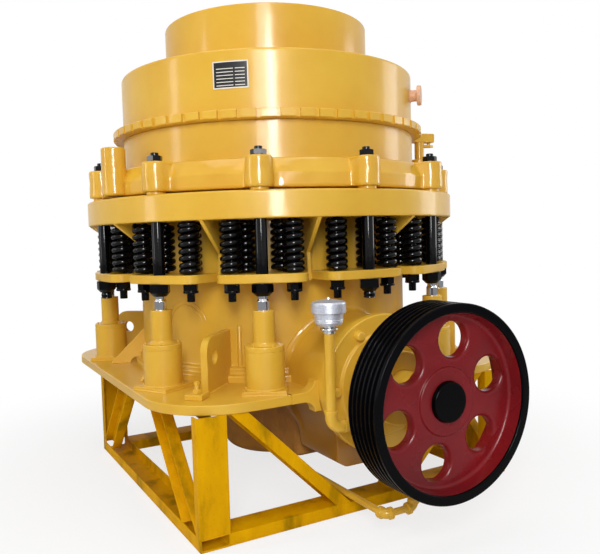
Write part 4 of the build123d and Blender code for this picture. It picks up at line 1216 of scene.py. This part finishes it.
def drain_line():
    """Drain pipe: long run, elbow across, elbow up, each a thicker bend with beaded ends."""
    x, y, z, bend = 1162.0, -141.0, 99.0, DRAIN_BEND
    out = swept([(200.0, y, z), (x - 30, y, z)], DRAIN_R, 20)
    out += swept([(x, y + 30, z), (x, y + 112, z)], DRAIN_R, 20)
    out += swept([(x, y + 140, z + 26), (x, y + 140, z + 60)], DRAIN_R, 20)
    t = np.linspace(0, math.pi / 2, 10)
    run, rise = bend * np.sin(t) - bend, bend * (1 - np.cos(t))
    for elbow in (np.stack([x + run, y + rise, z + 0 * t], -1),
                  np.stack([x + 0 * t, y + 140 + run, z + rise], -1)):
        out += swept(elbow, 20.0, 24)
        for k, way in ((0, elbow[1] - elbow[0]), (-1, elbow[-1] - elbow[-2])):
            out += bead(elbow[k], way / np.linalg.norm(way), 9, 20.0, 24.0, 24)
    return out


SHAFT_LONG, SHAFT_END = countershaft()
dress("lower_hub", lower_hub(), "frame", DUSTY_AND_SHADED_YELLOW)
dress("drive_housing", drive_housing(), "frame", DIRTY_AND_SHADED_YELLOW, sharp=40.0)
dress("housing_cover", housing_cover(), "frame", YELLOW)
piece("sheave_rim", grooved_rim(), "drive", RIM_BLACK, ["sheave"])
piece("sheave_web", sheave_web(), "drive", RED, ["sheave"], 40.0)
piece("countershaft_painted", SHAFT_LONG, "drive", YELLOW, ["countershaft"])
piece("countershaft_end", SHAFT_END, "drive", RIM_BLACK, ["countershaft"])
piece("vent_pipe_dressed", vent_pipe(), "frame", YELLOW, ["breather_pipe"])
piece("breather_drums", breather_drums(), "frame", SILVER, ["breather"])
piece("breather_fitting", breather_fitting(), "frame", ZINC, ["breather"])
piece("drain_line_dressed", drain_line(), "frame", YELLOW, ["drain_pipe"])
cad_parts["mantle"].data.materials.clear()
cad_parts["mantle"].data.materials.append(RAW)


# Camera at the photograph's place, lights and surround


def linked(name, data):
    """New object in the scene."""
    made = bpy.data.objects.new(name, data)
    bpy.context.scene.collection.objects.link(made)
    return made


def camera():
    """Pinhole camera solved from the photograph: place, then yaw, pitch and roll."""
    yaw, pitch, roll, turn = 0.0401, -0.0607, 0.0285, 0.4738
    cy, sy, cp, sp = math.cos(yaw), math.sin(yaw), math.cos(pitch), math.sin(pitch)
    ahead = np.array([sy * cp, cy * cp, sp])
    right = np.array([cy, -sy, 0])
    up = np.array([-sp * sy, -sp * cy, cp])
    c, s = math.cos(roll), math.sin(roll)
    up, right = s * right + c * up, c * right - s * up
    c, s = math.cos(turn), math.sin(turn)
    axes = np.array([[s, -c, 0], [c, s, 0], [0, 0, 1]]) @ np.stack([right, up, -ahead], -1)
    data = bpy.data.cameras.new("camera")
    data.sensor_width = 36.0
    data.lens = 36.0 * 669.062 / 600.0
    made = linked("camera", data)
    place = Matrix.Translation((3.2194, -1.6507, 1.1857))
    made.matrix_world = place @ Matrix(axes.tolist()).to_4x4()
    bpy.context.scene.camera = made


camera()


def soft_box(name, place, aim_z, wide, tall, watts, seen=True):
    """Rectangular studio light turned towards a height on the machine's axis; unless seen, it
    only makes the glints."""
    data = bpy.data.lights.new(name, "AREA")
    data.shape = "RECTANGLE"
    data.size, data.size_y, data.energy = wide, tall, watts
    made = linked(name, data)
    way = Vector((0.0, 0.0, aim_z)) - Vector(place)
    turn = way.to_track_quat("-Z", "Y").to_matrix().to_4x4()
    made.matrix_world = Matrix.Translation(place) @ turn
    made.visible_diffuse = seen


soft_box("key", (4.7, -2.6, 3.0), 1.2, 1.2, 2.0, 138.0)
soft_box("window", (4.3, -1.9, 2.35), 2.35, 0.5, 2.3, 180.0, False)
soft_box("left_fill", (-0.4, -4.8, 2.2), 1.8, 0.5, 2.4, 38.0)
soft_box("right_fill", (1.3, 4.8, 2.2), 1.2, 1.6, 2.4, 62.0)
soft_box("top", (0.8, -0.8, 5.6), 1.0, 3.6, 3.6, 88.0)


def white_world():
    """Even pale surround: it lights softly, and shows white to the camera and in reflections."""
    world = bpy.data.worlds.new("surround")
    bpy.context.scene.world = world
    world.use_nodes = True
    tree = world.node_tree
    back = tree.nodes["Background"]
    rays = add(tree, "LightPath").outputs
    seen = rays["Is Camera Ray"]
    for other in ("Is Glossy Ray", "Is Transmission Ray"):
        seen = add(tree, "Math", {0: seen, 1: rays[other]}, operation="MAXIMUM").outputs[0]
    feed(tree, back, Color=(1.0, 1.0, 1.0, 1.0), Strength=ranged(tree, seen, 0.3, 1.0))


white_world()


def floor():
    """Pale floor: pure white to the eye away from the object, with its soft shadow close by."""
    mesh = bpy.data.meshes.new("floor")
    corners = [(x, y, -0.001) for x, y in ((-30, -30), (30, -30), (30, 30), (-30, 30))]
    mesh.from_pydata(corners, [], [(0, 1, 2, 3)])
    made = linked("floor", mesh)
    material = bpy.data.materials.new("pale_studio_floor")
    material.use_nodes = True
    tree = material.node_tree
    tree.nodes.remove(tree.nodes["Principled BSDF"])
    camera_ray = add(tree, "LightPath").outputs["Is Camera Ray"]
    glow = add(tree, "Emission", {"Color": (1.0, 1.0, 1.0, 1.0), "Strength": 1.0})
    matt = add(tree, "BsdfDiffuse", {"Color": linear("#F2F2F2")})
    where = add(tree, "TexCoord").outputs["Object"]
    far = add(tree, "VectorMath", {0: where}, operation="LENGTH").outputs["Value"]
    fade = ranged(tree, far, 0.75, 1.0, start=1.0, stop=2.6, interpolation_type="SMOOTHSTEP")
    share = add(tree, "Math", {0: camera_ray, 1: fade}, operation="MULTIPLY")
    mix = add(tree, "MixShader", {0: share.outputs[0], 1: matt.outputs[0], 2: glow.outputs[0]})
    tree.links.new(mix.outputs[0], tree.nodes["Material Output"].inputs["Surface"])
    mesh.materials.append(material)


floor()
bpy.context.scene.view_settings.view_transform = "Standard"
